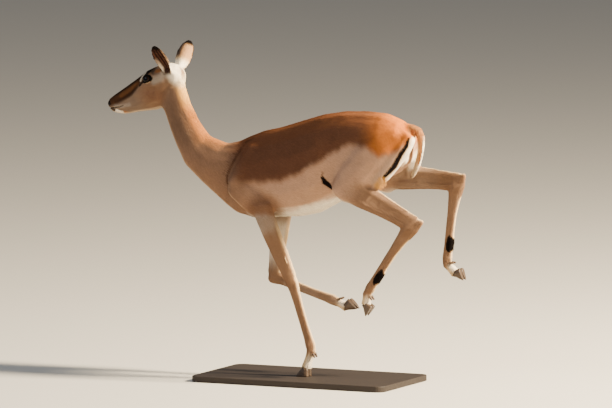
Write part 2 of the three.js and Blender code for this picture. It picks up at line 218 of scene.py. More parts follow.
def linear(colour):
    """sRGB numbers to scene-linear."""
    c = np.asarray(colour, dtype=float)
    return np.where(c <= 0.04045, c / 12.92, ((c + 0.055) / 1.055) ** 2.4)


# ------------------------------------------------------------------ measuring on arrays of points
def soft(value, low, high):
    """0 under low, 1 over high, smooth between; high may be the smaller."""
    t = np.clip((value - low) / (high - low), 0.0, 1.0)
    return t * t * (3 - 2 * t)


def bell(value, reach):
    """1 at 0, falling off over the reach on both sides."""
    return np.exp(-((value / reach) ** 2))


def unit(vector):
    """The vector at length 1."""
    return vector / np.linalg.norm(vector)


def segment_distance(p, a, b):
    """Distance of every point from a segment, and how far along it the nearest place is."""
    ab = b - a
    t = np.clip(((p - a) @ ab) / (ab @ ab), 0.0, 1.0)
    return np.linalg.norm(p - a - t[:, None] * ab, axis=1), t


def line_distance(p, line):
    """Distance from a row of points, given in millimetres, joined up."""
    line = [mm(*q) for q in line]
    return np.min([segment_distance(p, a, b)[0] for a, b in zip(line, line[1:])], axis=0)


def flat_line(p, line):
    """The same in side view only: the line is pairs of x and z."""
    return line_distance(p[:, [0, 2]], line)


def mirrored(p):
    """The points as if all were on the right."""
    return np.column_stack([p[:, 0], np.abs(p[:, 1]), p[:, 2]])


def curve(x, table):
    """The height over x from a short table in millimetres."""
    xs, zs = np.array(table, dtype=float).T / 1000.0
    return np.interp(x, xs, zs)


def on_side(p, side):
    """Which points are on the left (-1) or right (1)."""
    return p[:, 1] * side > 0


def side_of(joints):
    """-1 for a leg on the left, 1 on the right."""
    return np.sign(joints["fetlock"][1])


def eye_middle(side):
    return EYE["at"] * (1, side, 1)


def eye_axis(side):
    return np.array(EYE["axis"]) * (1, side, 1)


# ------------------------------------------------------------------ building meshes
WEIGHT_STEPS = 32
SEARCH = 0.03  # how far off the nearest place of a surface is looked for


def mesh_from(name, verts, faces):
    """A mesh from an array of points and an array of triangles."""
    mesh = bpy.data.meshes.new(name)
    mesh.vertices.add(len(verts))
    mesh.vertices.foreach_set("co", np.ascontiguousarray(verts, dtype=np.float32).ravel())
    mesh.loops.add(faces.size)
    mesh.loops.foreach_set("vertex_index", np.ascontiguousarray(faces, dtype=np.int32).ravel())
    mesh.polygons.add(len(faces))
    size = faces.shape[1]
    mesh.polygons.foreach_set("loop_start", np.arange(0, faces.size, size, dtype=np.int32))
    mesh.update(calc_edges=True)
    return mesh


def read(items, attribute, columns, kind=np.float32):
    """An attribute of a mesh's points, edges or faces as an array."""
    out = np.empty(len(items) * columns, dtype=kind)
    items.foreach_get(attribute, out)
    return out.reshape(-1, columns)


def points_of(mesh):
    return read(mesh.vertices, "co", 3).astype(float)


def normals_of(mesh):
    return read(mesh.vertex_normals, "vector", 3).astype(float)


def triangles_of(mesh, attribute="vertices"):
    mesh.calc_loop_triangles()
    return read(mesh.loop_triangles, attribute, 3, np.int32)


def set_points(mesh, points):
    mesh.vertices.foreach_set("co", np.ascontiguousarray(points, dtype=np.float32).ravel())
    mesh.update()


def set_colours(mesh, colours):
    """Per-point colours as the attribute that the coat materials read."""
    layer = mesh.attributes.new("coat_colour", "FLOAT_COLOR", "POINT")
    rgba = np.ones((len(colours), 4), dtype=np.float32)
    rgba[:, :3] = colours
    layer.data.foreach_set("color", rgba.ravel())


def show(name, mesh, material, replaced=(), smooth=True):
    """Links a finished piece and files it with the frame."""
    piece = linked(name, mesh)
    mesh.materials.clear()
    mesh.materials.append(material.data)
    mesh.polygons.foreach_set("use_smooth", np.full(len(mesh.polygons), smooth, dtype=bool))
    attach(piece, "root")
    if replaced:
        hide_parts(*replaced)
    return piece


def finished(work, name):
    """A new mesh from a bmesh, which is freed."""
    mesh = bpy.data.meshes.new(name)
    work.to_mesh(mesh)
    work.free()
    return mesh


def applied(piece):
    """The piece's mesh with its modifiers applied; the piece itself is removed."""
    graph = bpy.context.evaluated_depsgraph_get()
    mesh = bpy.data.meshes.new_from_object(piece.evaluated_get(graph))
    old = piece.data
    bpy.data.objects.remove(piece)
    bpy.data.meshes.remove(old)
    return mesh


def linked(name, data):
    """A new object in the scene."""
    piece = bpy.data.objects.new(name, data)
    bpy.context.scene.collection.objects.link(piece)
    return piece


def modifier(piece, kind, **options):
    """Adds a modifier and sets it up."""
    made = piece.modifiers.new(kind, kind)
    for key, value in options.items():
        setattr(made, key, value)


def remeshed(mesh, cell):
    """A mesh rebuilt from cells of that size; still a scratch piece, for more modifiers."""
    piece = linked("rebuilt", mesh)
    modifier(piece, "REMESH", mode="VOXEL", voxel_size=cell)
    return piece


def weigh(piece, name, weights):
    """A vertex group from an array, in even steps."""
    group = piece.vertex_groups.new(name=name)
    steps = np.round(np.clip(weights, 0, 1) * WEIGHT_STEPS).astype(int)
    for step in range(1, WEIGHT_STEPS + 1):
        chosen = np.nonzero(steps == step)[0]
        if len(chosen):
            group.add(chosen.tolist(), step / WEIGHT_STEPS, "REPLACE")


# ------------------------------------------------------------------ regions of the body
def head_frame(p):
    """Along the face from the nose, square to it (up), and sideways without sign."""
    x, z = p[:, 0] + 0.731, p[:, 2] - 0.890
    return x * 0.917 + z * 0.399, -x * 0.399 + z * 0.917, np.abs(p[:, 1])


def in_head(p):
    """1 on the head and ears, 0 behind the throat."""
    return soft((p[:, 0] + 0.496) * -0.85 + (p[:, 2] - 0.935) * 0.53, -0.012, 0.012)


def ear_weight(p):
    """1 on the ears, fading at their roots, and how far up the ear each point is."""
    weight, up = np.zeros(len(p)), np.zeros(len(p))
    for root, tip, _ in EARS.values():
        near, along = segment_distance(p, root + (tip - root) * 0.1, tip)
        w = soft(near, 0.036, 0.030) * soft(along, 0.08, 0.3)
        up = np.where(w > weight, along, up)
        weight = np.maximum(weight, w)
    return weight, up


def leg_chain(joints):
    """The ends of the bones below the trunk, from the top down."""
    top = ("elbow", "knee") if "knee" in joints else ("stifle", "hock")
    names = [*top, "fetlock", "coronet"]
    return [(joints[a], joints[b]) for a, b in zip(names, names[1:])]


def leg_bones(p, joints, far_top, far, close, fade):
    """For each bone below the trunk: whether it is the top one, its ends, how far along it each point
    is, and 1 close to it, 0 far off or on the other side; the top one fades in along `fade`."""
    same = on_side(p, side_of(joints))
    for i, (a, b) in enumerate(leg_chain(joints)):
        near, along = segment_distance(p, a, b)
        weight = soft(near, far if i else far_top, close) * same
        yield i == 0, a, b, along, weight if i else weight * soft(along, *fade)


def leg_weight(p):
    """1 on the free part of a leg, 0 on the trunk."""
    weight = np.zeros(len(p))
    for joints in JOINTS.values():
        for *_, w in leg_bones(p, joints, 0.085, 0.06, 0.05, (0.12, 0.4)):
            weight = np.maximum(weight, w)
    return weight


# ------------------------------------------------------------------ the skin
JOINED_FLESH, JOINED = 1e-5, 2e-5  # points of a CAD node that lie this close are one
EAR_SWELL, SWELL, EYE_SWELL = 0.0016, 0.0004, 0.0016
# How far the skin is drawn in again: everywhere, more on the legs and head, and on the trunk by the
# depth of the coat less a little.
INSET, LIMB_INSET, TRUNK_LESS = 0.0006, 0.0008, 0.001
SUNK, RAISED, REFILLED = -0.006, 0.02, 0.9  # limits of the refill, and the part of it that is done
EVEN_FACTOR = 0.5
KEPT = 0.97  # how much the thinning spares the places to be kept
FIRST_TRIANGLES = 97000  # of the skin, before the head is made finer
# how many times each region is evened out
EVENINGS = {"body": 80, "limbs": 12, "head": 14, "ears": 5}
REFILL_EVENINGS = 24


def rough_flesh():
    """The flesh nodes in one mesh, swollen a little so that the cuts between them close."""
    work = bmesh.new()
    for name in FLESH:
        one = bmesh.new()
        one.from_mesh(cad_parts[name].data)
        bmesh.ops.remove_doubles(one, verts=one.verts, dist=JOINED_FLESH)
        one.normal_update()
        swell = EAR_SWELL if name.startswith("ear") else SWELL
        for vert in one.verts:
            vert.co += vert.normal * swell
        part = finished(one, name)
        work.from_mesh(part)
        bpy.data.meshes.remove(part)
    for side in SIDES:
        place = Matrix.Translation(Vector(eye_middle(side)))
        radius = EYE["radius"] + EYE_SWELL
        bmesh.ops.create_icosphere(work, subdivisions=4, radius=radius, matrix=place)
    return finished(work, "flesh")


def smoothed(mesh):
    """Evens out the facets: much on the trunk, less on the legs and head, hardly on the ears."""
    piece = linked("flesh", mesh)
    p = points_of(mesh)
    head, legs, (ears, _) = in_head(p), leg_weight(p), ear_weight(p)
    tail = soft(flat_line(p, TAIL), 0.035, 0.022) * soft(np.abs(p[:, 1]), 0.024, 0.018)
    regions = {
        "body": 1 - np.maximum(np.maximum(head, legs), tail),
        "limbs": np.maximum(legs, tail) * (1 - ears),
        "head": head * (1 - ears),
        "ears": ears,
    }
    for name, weights in regions.items():
        weigh(piece, name, weights)
        modifier(piece, "SMOOTH", vertex_group=name, factor=EVEN_FACTOR, iterations=EVENINGS[name])
    return applied(piece)


def spread(values, edges, steps):
    """A number per point, averaged with its neighbours over and over."""
    a, b = edges.T
    size = len(values)
    count = np.bincount(edges.ravel(), minlength=size) + 1.0
    for _ in range(steps):
        values = (values + np.bincount(a, values[b], size) + np.bincount(b, values[a], size)) / count
    return values


def refill(mesh, rough):
    """Pushes the smoothed skin back out to where the flesh was, evenly."""
    faces = [f.vertices[:] for f in rough.polygons]
    tree = BVHTree.FromPolygons([v.co[:] for v in rough.vertices], faces)
    p, n = points_of(mesh), normals_of(mesh)
    gap = np.zeros(len(p))
    for i, (point, normal) in enumerate(zip(p, n)):
        hit = tree.find_nearest(Vector(point), SEARCH)
        if hit[0] is not None:
            gap[i] = np.array(hit[0] - Vector(point)) @ normal
    edges = read(mesh.edges, "vertices", 2, np.int32)
    even = spread(np.clip(gap, SUNK, RAISED), edges, REFILL_EVENINGS)
    set_points(mesh, p + n * (even * REFILLED)[:, None])
    return mesh


def thinned(mesh, target, kept):
    """Fewer triangles, hardly any lost where `kept` is 1."""
    piece = linked("flesh", mesh)
    weigh(piece, "thin", 1 - KEPT * kept)
    ratio = min(1.0, target / len(triangles_of(mesh)))
    modifier(piece, "DECIMATE", ratio=ratio, vertex_group="thin")
    return applied(piece)


def finer(mesh, choose):
    """Splits the faces once wherever `choose` says so."""
    work = bmesh.new()
    work.from_mesh(mesh)
    chosen = choose(np.array([v.co[:] for v in work.verts]))
    edges = [e for e in work.edges if chosen[e.verts[0].index] and chosen[e.verts[1].index]]
    bmesh.ops.subdivide_edges(work, edges=edges, cuts=1, use_grid_fill=True, smooth=0.5)
    bmesh.ops.triangulate(work, faces=work.faces)
    work.to_mesh(mesh)
    work.free()
    return mesh


def on_face(p):
    """Which points are on the face in front of the ears."""
    s, t, _ = head_frame(p)
    return (in_head(p) > 0.5) & (s < 0.20) & (ear_weight(p)[0] < 0.3) & (t < 0.07)


def near_eye_or_nose(p):
    """Which points are round the eyes, the nose and the lips."""
    q = mirrored(p)
    s, _, _ = head_frame(p)
    lips = line_distance(q, MOUTH) < 0.005
    return (np.linalg.norm(q - EYE["at"], axis=1) < 0.021) | (s < 0.020) & (in_head(p) > 0.5) | lips


def near_lids(p):
    """Which points are by the edges of the lids."""
    out = np.zeros(len(p), dtype=bool)
    for side in SIDES:
        open_, _, _, _, reach = almond(p, side)
        out |= reach & (open_ > 0.84) & (open_ < 1.26)
    return out


def bumps(p, features):
    """How far each point moves along its normal for a list of lines, each with a reach and a height."""
    moved = np.zeros(len(p))
    q = mirrored(p)
    for line, reach, height in features:
        moved += height / 1000.0 * bell(line_distance(q, line) * 1000.0, reach)
    return moved


# x, y, z of points on a line in millimetres; how far it spreads; how far it swells (or sinks)
HEAD_FORM = [
    ([(-598, 44, 994), (-580, 49, 1004), (-554, 47, 1001)], 9, 4.6),  # brow
    ([(-600, 44, 964), (-576, 49, 957), (-545, 47, 961)], 8, 2.2),  # cheekbone
    ([(-545, 47, 961), (-520, 44, 972)], 8, 1.5),  # arch behind the eye
    ([(-616, 36, 958), (-636, 31, 945)], 9, -2.4),  # hollow before the eye
    ([(-556, 46, 1010), (-530, 42, 1004)], 9, -1.4),  # temple
    ([(-572, 42, 915), (-545, 42, 922)], 18, 2.4),  # cheek
    ([(-656, 28, 902), (-612, 34, 912)], 11, -1.8),  # under the cheek
    ([(-590, 34, 890), (-550, 36, 892)], 6, 1.6),  # edge of the jaw
    ([(-720, 16, 905), (-711, 20, 899)], 7, 2.2),  # wing of the nostril
    ([(-718, 18, 887), (-690, 24, 885)], 6, 1.6),  # upper lip
    ([(-712, 12, 868), (-690, 15, 864)], 8, 1.8),  # chin
    ([(-672, 20, 869), (-650, 22, 868)], 8, -1.5),  # behind the chin
    ([(-529, 40, 892), (-512, 38, 915), (-500, 37, 945)], 8, -2.6),  # behind the jaw
    ([(-522, 34, 1016), (-500, 36, 1012), (-480, 34, 1004)], 10, 3.0),  # root of the ear
    ([(-560, 0, 1018), (-592, 0, 1005)], 14, 2.2),  # forehead between the brows
    ([(-650, 7, 968), (-700, 7, 936)], 7, 0.9),  # edge of the bridge
]
BODY_FORM = [
    # the crease before the shoulder, from the withers to the point of the chest
    ([(-198, 40, 806), (-222, 62, 787), (-239, 70, 757), (-257, 76, 720), (-273, 80, 677),
      (-270, 80, 640)], 7, -4.5),
    ([(-180, 50, 806), (-204, 76, 764), (-232, 88, 700), (-244, 90, 655)], 15, 3.0),  # shoulder's front edge
    ([(-150, 84, 760), (-185, 92, 690)], 24, 2.5),  # shoulder blade
    ([(-112, 92, 730), (-104, 100, 690), (-94, 104, 655), (-84, 98, 615)], 12, -3.5),  # behind the upper arm
    ([(-150, 100, 650), (-124, 104, 600)], 24, 4.0),  # upper arm
    ([(-200, 96, 640), (-176, 100, 596)], 10, -2.0),  # before the upper arm
    ([(118, 96, 810), (118, 104, 750), (104, 102, 690)], 30, -4.5),  # flank hollow
    ([(196, 74, 868), (206, 84, 846)], 18, 3.0),  # hip bone
    ([(150, 92, 800), (136, 104, 730), (122, 102, 668)], 9, -2.2),  # fold before the thigh
    ([(240, 96, 780), (190, 104, 716)], 26, 3.0),  # thigh
    ([(300, 84, 800), (268, 98, 740), (232, 98, 690)], 9, -2.4),  # between the muscles of the thigh
    ([(352, 66, 800), (320, 76, 750), (294, 84, 704)], 16, 2.0),  # hamstring
    ([(286, 60, 868), (330, 56, 850), (360, 50, 836)], 14, -2.0),  # before the tail's root
    ([(-330, 60, 730), (-400, 50, 800), (-450, 40, 870)], 14, -1.8),  # between the muscles of the neck
    ([(-380, 48, 700), (-450, 42, 780), (-490, 36, 860)], 9, -2.0),  # groove along the windpipe
    ([(-90, 20, 520), (-150, 16, 512)], 16, 2.0),  # breastbone
]
BODY_FORM += [
    ([(x, 96, 810), (x + 4, 112, 740), (x - 14, 106, 640)], 7, 0.7) for x in range(-62, 100, 27)  # ribs
]
# per bone: along it, how far round from its front (0) to its back (1), half length, reach, height in mm
LIMB_FORM = {
    ("stifle", "hock"): [
        (0.62, 0.62, 0.30, 7, -3.4), (0.35, 0.30, 0.2, 12, 1.6), (0.98, 0.35, 0.05, 8, 1.5),
    ],
    ("hock", "fetlock"): [
        (0.735, 0.92, 0.05, 13, 3.2), (0.5, 0.58, 0.36, 4, -1.5), (0.04, 0.5, 0.05, 10, 1.5),
        (0.97, 0.5, 0.03, 8, 1.6),
    ],
    ("elbow", "knee"): [
        (0.45, 0.55, 0.25, 7, -1.8), (0.95, 0.5, 0.04, 10, 1.6), (0.3, 0.3, 0.2, 11, 1.4),
    ],
    ("knee", "fetlock"): [
        (0.5, 0.58, 0.36, 4, -1.5), (0.04, 0.85, 0.02, 7, 1.5), (0.97, 0.5, 0.03, 8, 1.4),
    ],
}


def limb_form(p):
    """Grooves before the tendons and knobs at the joints of the legs."""
    moved = np.zeros(len(p))
    for joints in JOINTS.values():
        for (start, end), features in LIMB_FORM.items():
            if start not in joints:
                continue
            a, b = joints[start], joints[end]
            length = np.linalg.norm(b - a)
            bone = (b - a) / length
            rear = np.array((-bone[2], 0.0, bone[0]))
            off = p - a
            along = off @ bone
            radial = off - along[:, None] * bone
            size = np.linalg.norm(radial, axis=1) + 1e-6
            near = soft(size, 0.075, 0.06)
            turn = np.arccos(np.clip(-(radial @ rear) / size, -1, 1)) / np.pi
            for at, around, half, reach, height in features:
                beyond = np.maximum(np.abs(along - at * length) - half * length, 0) * 1000.0
                aside = (turn - around) * np.pi * size * 1000.0
                moved += near * height / 1000.0 * np.exp(-(beyond**2 + aside**2) / reach**2)
    return moved


NOSTRIL = [(-727, 9, 901), (-722, 14, 899), (-716, 17, 893)]
MOUTH = [(-730, 0, 880), (-724, 14, 879), (-706, 22, 880), (-686, 23, 883), (-672, 24, 888)]
EYE_LENGTH, EYE_ABOVE, EYE_BELOW = 0.0154, 0.0104, 0.0090
EYE_REACH = 0.040
LID, SOCKET = 0.0011, 0.0016  # thickness of the lid; how far the skin lies under the eyeball's surface


def almond(p, side):
    """How far out of the eye's opening a point is, 1 on the lid's edge; height over the eye's long axis;
    the way out from the eyeball's middle, and how far out the point is; and whether it is in reach."""
    axis = unit(eye_axis(side))
    long = np.array((0.90, 0.0, 0.20))
    long = unit(long - axis * (long @ axis))
    high = np.cross(axis, long) * -side
    d = p - eye_middle(side)
    a, b, depth = d @ long, d @ high, d @ axis
    inside = np.abs(a / EYE_LENGTH) ** 2.0 + np.abs(b / np.where(b > 0, EYE_ABOVE, EYE_BELOW)) ** 1.7
    r = np.linalg.norm(d, axis=1)
    reach = (r < EYE_REACH) & (depth > -0.002)
    return np.sqrt(inside), b, d / np.maximum(r, 1e-6)[:, None], r, reach


def carve_eye(p, side):
    """Opens the lids over the eyeball and folds them."""
    open_, above, out, r, reach = almond(p, side)
    radius = EYE["radius"]
    lid = np.maximum(r, radius + LID * 0.8)
    lid += (radius + LID - lid) * soft(open_, 1.75, 1.1)
    fold = bell(open_ - 1.62, 0.17) * np.where(above > 0, 1.5, 0.9)
    lid = lid - fold / 1000.0 + 0.0009 * bell(open_ - 1.25, 0.16)
    lid = np.maximum(lid, radius + 0.0003)
    r = np.where(open_ < 1.0, radius - SOCKET + (LID + SOCKET) * soft(open_, 0.88, 1.0), lid)
    return np.where(reach[:, None], eye_middle(side) + out * r[:, None], p)


def carve_face(p, n):
    """Brow, cheeks, nostrils, mouth and eyelids."""
    p = p + n * (bumps(p, HEAD_FORM) * in_head(p))[:, None]
    q = mirrored(p)
    nostril, mouth = line_distance(q, NOSTRIL), line_distance(q, MOUTH)
    p = p + n * (0.0012 * bell(nostril - 0.0055, 0.0022))[:, None]
    p = p - n * (0.0060 * bell(nostril, 0.0026))[:, None]
    p = p + n * (0.0008 * bell(mouth - 0.004, 0.0025))[:, None]
    p = p - n * (0.0026 * bell(mouth, 0.0015))[:, None]
    for side in SIDES:
        p = carve_eye(p, side)
    return p


def make_skin():
    """The whole skin, its face carved."""
    flesh = applied(remeshed(rough_flesh(), settings().voxel))
    rough = flesh.copy()
    mesh = refill(smoothed(flesh), rough)
    bpy.data.meshes.remove(rough)
    p = points_of(mesh)
    mesh = thinned(mesh, FIRST_TRIANGLES, np.maximum(in_head(p), 0.9 * marked(p)))
    for place in (on_face, near_eye_or_nose, near_lids):
        mesh = finer(mesh, place)
    p, n = points_of(mesh), normals_of(mesh)
    head, legs, (ears, _) = in_head(p), leg_weight(p), ear_weight(p)
    body = (1 - head) * (1 - legs)
    trunk_inset = settings().coat_depth - TRUNK_LESS
    inset = INSET + body * trunk_inset + LIMB_INSET * legs + LIMB_INSET * head * (1 - ears)
    inset += (EAR_SWELL - INSET) * ears
    form = bumps(p, BODY_FORM) * (1 - head)
    p = p + n * (form + limb_form(p) - inset)[:, None]
    set_points(mesh, p)
    set_points(mesh, carve_face(p, normals_of(mesh)))
    return mesh


# ------------------------------------------------------------------ markings
# Lines in side view, x and z in millimetres; the gold tuft on the left thigh has y as well.
SADDLE_EDGE = [
    (-300, 700), (-262, 672), (-225, 660), (-185, 660), (-97, 665), (-50, 675), (12, 702), (48, 726),
    (85, 744), (123, 771), (160, 792), (200, 802), (250, 793), (292, 772), (325, 778), (358, 796),
    (391, 822), (420, 850),
]
BELLY_EDGE = [(-140, 556), (-63, 562), (-41, 569), (10, 588), (46, 599), (83, 607), (115, 622), (200, 642)]
STRIPE = [(386, 828), (380, 800), (363, 773), (340, 732), (303, 690)]
TUFT = [(302, -92, 682), (290, -94, 664)]
SPOT = [(89, 690), (97, 672), (115, 653)]
SPOT_STEM = [(89, 708), (89, 690)]
# the crease before the shoulder, along which a line of shade is painted
CREASE = [(-200, 803), (-224, 786), (-239, 757), (-257, 720), (-273, 677), (-273, 651)]


def mixed(colour, other, weight):
    return colour + (np.asarray(other) - colour) * np.clip(weight, 0, 1)[:, None]


def painted(colour, *coats):
    """The colour with sRGB coats laid over it in turn, each with its weight at every point."""
    for shade, weight in coats:
        colour = mixed(colour, linear(shade), weight)
    return colour


def plain(shade, p):
    """One sRGB colour at every point."""
    return np.tile(linear(shade), (len(p), 1))


def coat_colour(p, n):
    """Scene-linear colour of the coat at each point of the skin with that normal."""
    s = settings()
    white, black = linear(s.white), linear(s.black)
    x, y, z = p.T
    wave = 0.004 * np.sin(x * 90 + 1.3) + 0.0025 * np.sin(x * 210 + z * 60)
    over = soft(z - curve(x, SADDLE_EDGE) + wave * 0.6, -0.016, 0.016)
    back = soft(n[:, 2], 0.35, 0.95) * over
    ridge = soft(np.abs(y), 0.022, 0.006) * back * soft(x, 0.30, 0.2)
    rump = soft(x, 0.20, 0.33) * over
    thigh = soft(x, 0.105, 0.14) * soft(np.abs(y), 0.05, 0.07)
    under = soft(curve(x, BELLY_EDGE) - z + wave * 0.5, -0.008, 0.010) * (1 - thigh)
    keel = soft(-n[:, 2], 0.55, 0.95) * soft(z, 0.70, 0.62) * soft(x, -0.22, -0.14)
    front = soft(x + (z - 0.70) * 0.35, -0.205, -0.290)
    throat = soft(n[:, 0] * -0.88 + n[:, 2] * -0.47, 0.55, 0.95) * front
    above = n[:, 0] * 0.86 + n[:, 2] * 0.5
    nape = soft(above, 0.30, 0.85) * front
    sunlit_poll = soft(above, -0.25, 0.45) * soft(z, 0.950, 0.985)
    colour = painted(
        plain(s.fawn, p),
        ((0.62, 0.46, 0.34), soft(x, -0.10, -0.22) * 0.9),
        (s.saddle, over),
        # painted sunlight: the upward-facing top of the saddle lighter and more orange
        ((0.50, 0.30, 0.17), back * 0.55),
        ((0.31, 0.18, 0.11), ridge * 0.5),
        # the rump's orange: partly the saddle's own red-brown, partly painted sunlight on the haunch
        ((0.78, 0.44, 0.16), rump * 0.85),
        (s.white, under),
        (s.white, keel),
        ((0.51, 0.385, 0.30), front),
        # painted shade: the upper side of the neck darkened below the lit nape
        ((0.42, 0.325, 0.26), front * soft(z, 0.73, 0.81) * 0.8),
        ((0.78, 0.64, 0.50), throat * 0.6),
        # painted rim light: the nape, where it faces up and back, golden and paler towards the top
        ((0.66, 0.40, 0.17), nape * 0.85),
        ((0.88, 0.67, 0.35), nape * soft(z, 0.87, 0.95) * 0.85),
        # painted sunlight: the poll pale cream
        ((0.95, 0.87, 0.72), front * sunlit_poll * 0.9),
        # painted shade: a dark line along the crease before the shoulder
        ((0.27, 0.16, 0.10), bell(flat_line(p, CREASE) * 1000.0, 4.8) * 0.9 * (np.abs(y) > 0.02)),
    )
    for region in (rump_colour, leg_colour, head_colour):
        colour = region(p, n, colour, white, black)
    return np.clip(colour, 0, 1)


def rump_colour(p, n, colour, white, black):
    """Haunches, tail, the black stripes and spots, and the gold tuft."""
    x, y, z = p.T
    line = np.array(STRIPE, dtype=float)[::-1] / 1000.0
    aside = (x - np.interp(z, line[:, 1], line[:, 0])) * 0.80
    reach = soft(z, 0.665, 0.69) * (x > 0.24)
    # behind the white strip the inner buttock is painted tan, partly its own colour and partly painted
    # shade, with white down the middle
    deep = mixed(plain((0.62, 0.475, 0.345), p), white, soft(np.abs(y), 0.020, 0.010))
    colour = mixed(colour, deep, soft(aside, 0.012, 0.022) * reach * soft(z, 0.868, 0.845))
    wide = np.interp(z, [0.69, 0.72, 0.78, 0.83], [0.018, 0.025, 0.026, 0.015])
    strip = soft(aside, 0.003, 0.006) * soft(aside - wide, 0.003, -0.003) * reach * soft(z, 0.850, 0.838)
    strip = strip * soft(np.abs(y), 0.014, 0.020)
    colour = mixed(colour, white * 1.05, strip)
    before = soft(aside, -0.060, -0.010) * soft(aside, 0.0, -0.004) * soft(z, 0.80, 0.74) * reach
    colour = painted(
        colour,
        ((0.78, 0.60, 0.40), strip * soft(aside, 0.0095, 0.0065) * 0.6),
        ((0.72, 0.60, 0.50), before * 0.6),
    )
    half = np.interp(z, [0.69, 0.70, 0.73, 0.79, 0.822, 0.83], [0.002, 0.005, 0.0068, 0.0066, 0.0045, 0.002])
    stripe = flat_line(p, STRIPE) - half
    outside = soft(np.abs(y), 0.026, 0.036) * soft(n[:, 1] * np.sign(y), -0.15, 0.05)
    spot = flat_line(p, SPOT) - np.interp(z, [0.652, 0.668, 0.686, 0.70], [0.0045, 0.0085, 0.004, 0.0])
    outer = (np.abs(y) > 0.05) * (np.abs(n[:, 1]) > 0.2)
    colour = mixed(colour, black, soft(stripe, 0.0014, -0.0014) * outside * (x > 0.26))
    colour = mixed(colour, black, soft(spot, 0.0028, 0.0008) * outer)
    tail, down = tail_weight(p), soft(z, 0.845, 0.80)
    turn = np.degrees(np.arctan2(n[:, 1], n[:, 0])) + 30.0
    colour = painted(
        colour,
        ((0.3, 0.2, 0.14), soft(flat_line(p, SPOT_STEM), 0.005, 0.002) * outer * 0.6),
        ((0.80, 0.57, 0.27), soft(line_distance(p, TUFT), 0.024, 0.010) * 0.8),
        ((0.63, 0.42, 0.25), tail),
        ((0.76, 0.62, 0.46), tail * soft(turn, -55, -95) * down),
    )
    colour = mixed(colour, white * 1.05, tail * soft(turn, 4, 14) * down)
    colour = mixed(colour, white, tail * soft(np.abs(turn), 120, 150) * down)
    return painted(
        colour,
        ((0.16, 0.10, 0.07), tail * soft(np.abs(turn), 13, 8) * down),
        ((0.76, 0.67, 0.55), tail * soft(z, 0.752, 0.738)),
    )


def tail_weight(p):
    """1 on the tail below its root."""
    narrow = soft(np.abs(p[:, 1]), 0.026, 0.019) * (p[:, 0] > 0.36)
    return soft(flat_line(p, TAIL[1:]), 0.030, 0.020) * narrow


def backwards(bone):
    """The way square to a bone, in side view, that points to the rear."""
    return np.array((-bone[2], 0, bone[0]))


def behind(p, n, a, b):
    """For a bone from a to b: distance, how far along, and how much the skin faces backwards."""
    near, along = segment_distance(p, a, b)
    return near, along, n @ backwards(unit(b - a))


def gland(p, joints):
    """0 in the middle of the black tuft on the hind cannon, 1 at its edge."""
    a, b = joints["hock"], joints["fetlock"]
    near, along = segment_distance(p, a, b)
    bone = unit(b - a)
    radial = p - a - ((p - a) @ bone)[:, None] * bone
    rear = radial @ backwards(bone) / np.maximum(np.linalg.norm(radial, axis=1), 1e-6)
    far = ((along - 0.735) / 0.108) ** 2 + ((rear - 0.42) / 0.82) ** 2
    return np.where(near < 0.045, far, 9.0)


def round_joint(p, place, far, close):
    """1 close to a joint, 0 far from it."""
    return soft(np.linalg.norm(p - place, axis=1), far, close)


def leg_colour(p, n, colour, white, black):
    """Legs: paler behind (partly painted rim light), darker before, white within, with socks, knees, hocks
    and glands.
    """
    tone, dark, cream = linear((0.50, 0.38, 0.29)), linear((0.38, 0.25, 0.17)), linear((0.88, 0.76, 0.58))
    for j in JOINTS.values():
        side = side_of(j)
        same = on_side(p, side).astype(float)
        weight, rear, high = np.zeros((3, len(p)))
        for top, a, b, along, w in leg_bones(p, j, 0.075, 0.05, 0.045, (0.0, 0.35)):
            rear = np.where(w > weight, n @ backwards(unit(b - a)), rear)
            high = np.where(w > weight, soft(along, 0.95, 0.55) if top else 0.12, high)
            weight = np.maximum(weight, w)
        near, along, back = behind(p, n, j["fetlock"], j["coronet"])
        inner = soft(n[:, 1] * -side, 0.3, 0.8) * weight * high
        sock = soft(near, 0.045, 0.030) * same * soft(along, 0.08, 0.5)
        crown = round_joint(p, j["coronet"], 0.022, 0.015) * same * soft(along, 0.8, 0.98)
        coats = [
            (tone, weight),
            (white, inner * (0.75 if "knee" in j else 0.12)),
            # paler at the back of each leg: partly the coat's own cream, partly painted rim light
            (cream, soft(rear, 0.72, 0.97) * weight * 0.85),
            (dark, soft(rear, -0.55, -0.95) * weight * 0.35),
            (cream, sock * 0.85),
            (white, soft(back, -0.2, 0.5) * sock * 0.9),
            (linear((0.30, 0.22, 0.17)), crown * 0.5),
        ]
        if "hock" in j:
            heel = round_joint(p, j["hock"], 0.05, 0.02) * same
            coats.append((black, soft(gland(p, j), 1.05, 0.8) * same))
            coats.append((dark, heel * soft(rear, 0.2, -0.5) * 0.35))
        else:
            knee = round_joint(p, j["knee"], 0.045, 0.015) * same
            coats.append((dark, round_joint(p, j["elbow"], 0.085, 0.035) * same * 0.75))
            coats.append((dark, knee * soft(rear, 0.0, -0.7) * 0.4))
        for shade, amount in coats:
            colour = mixed(colour, shade, amount)
    return colour


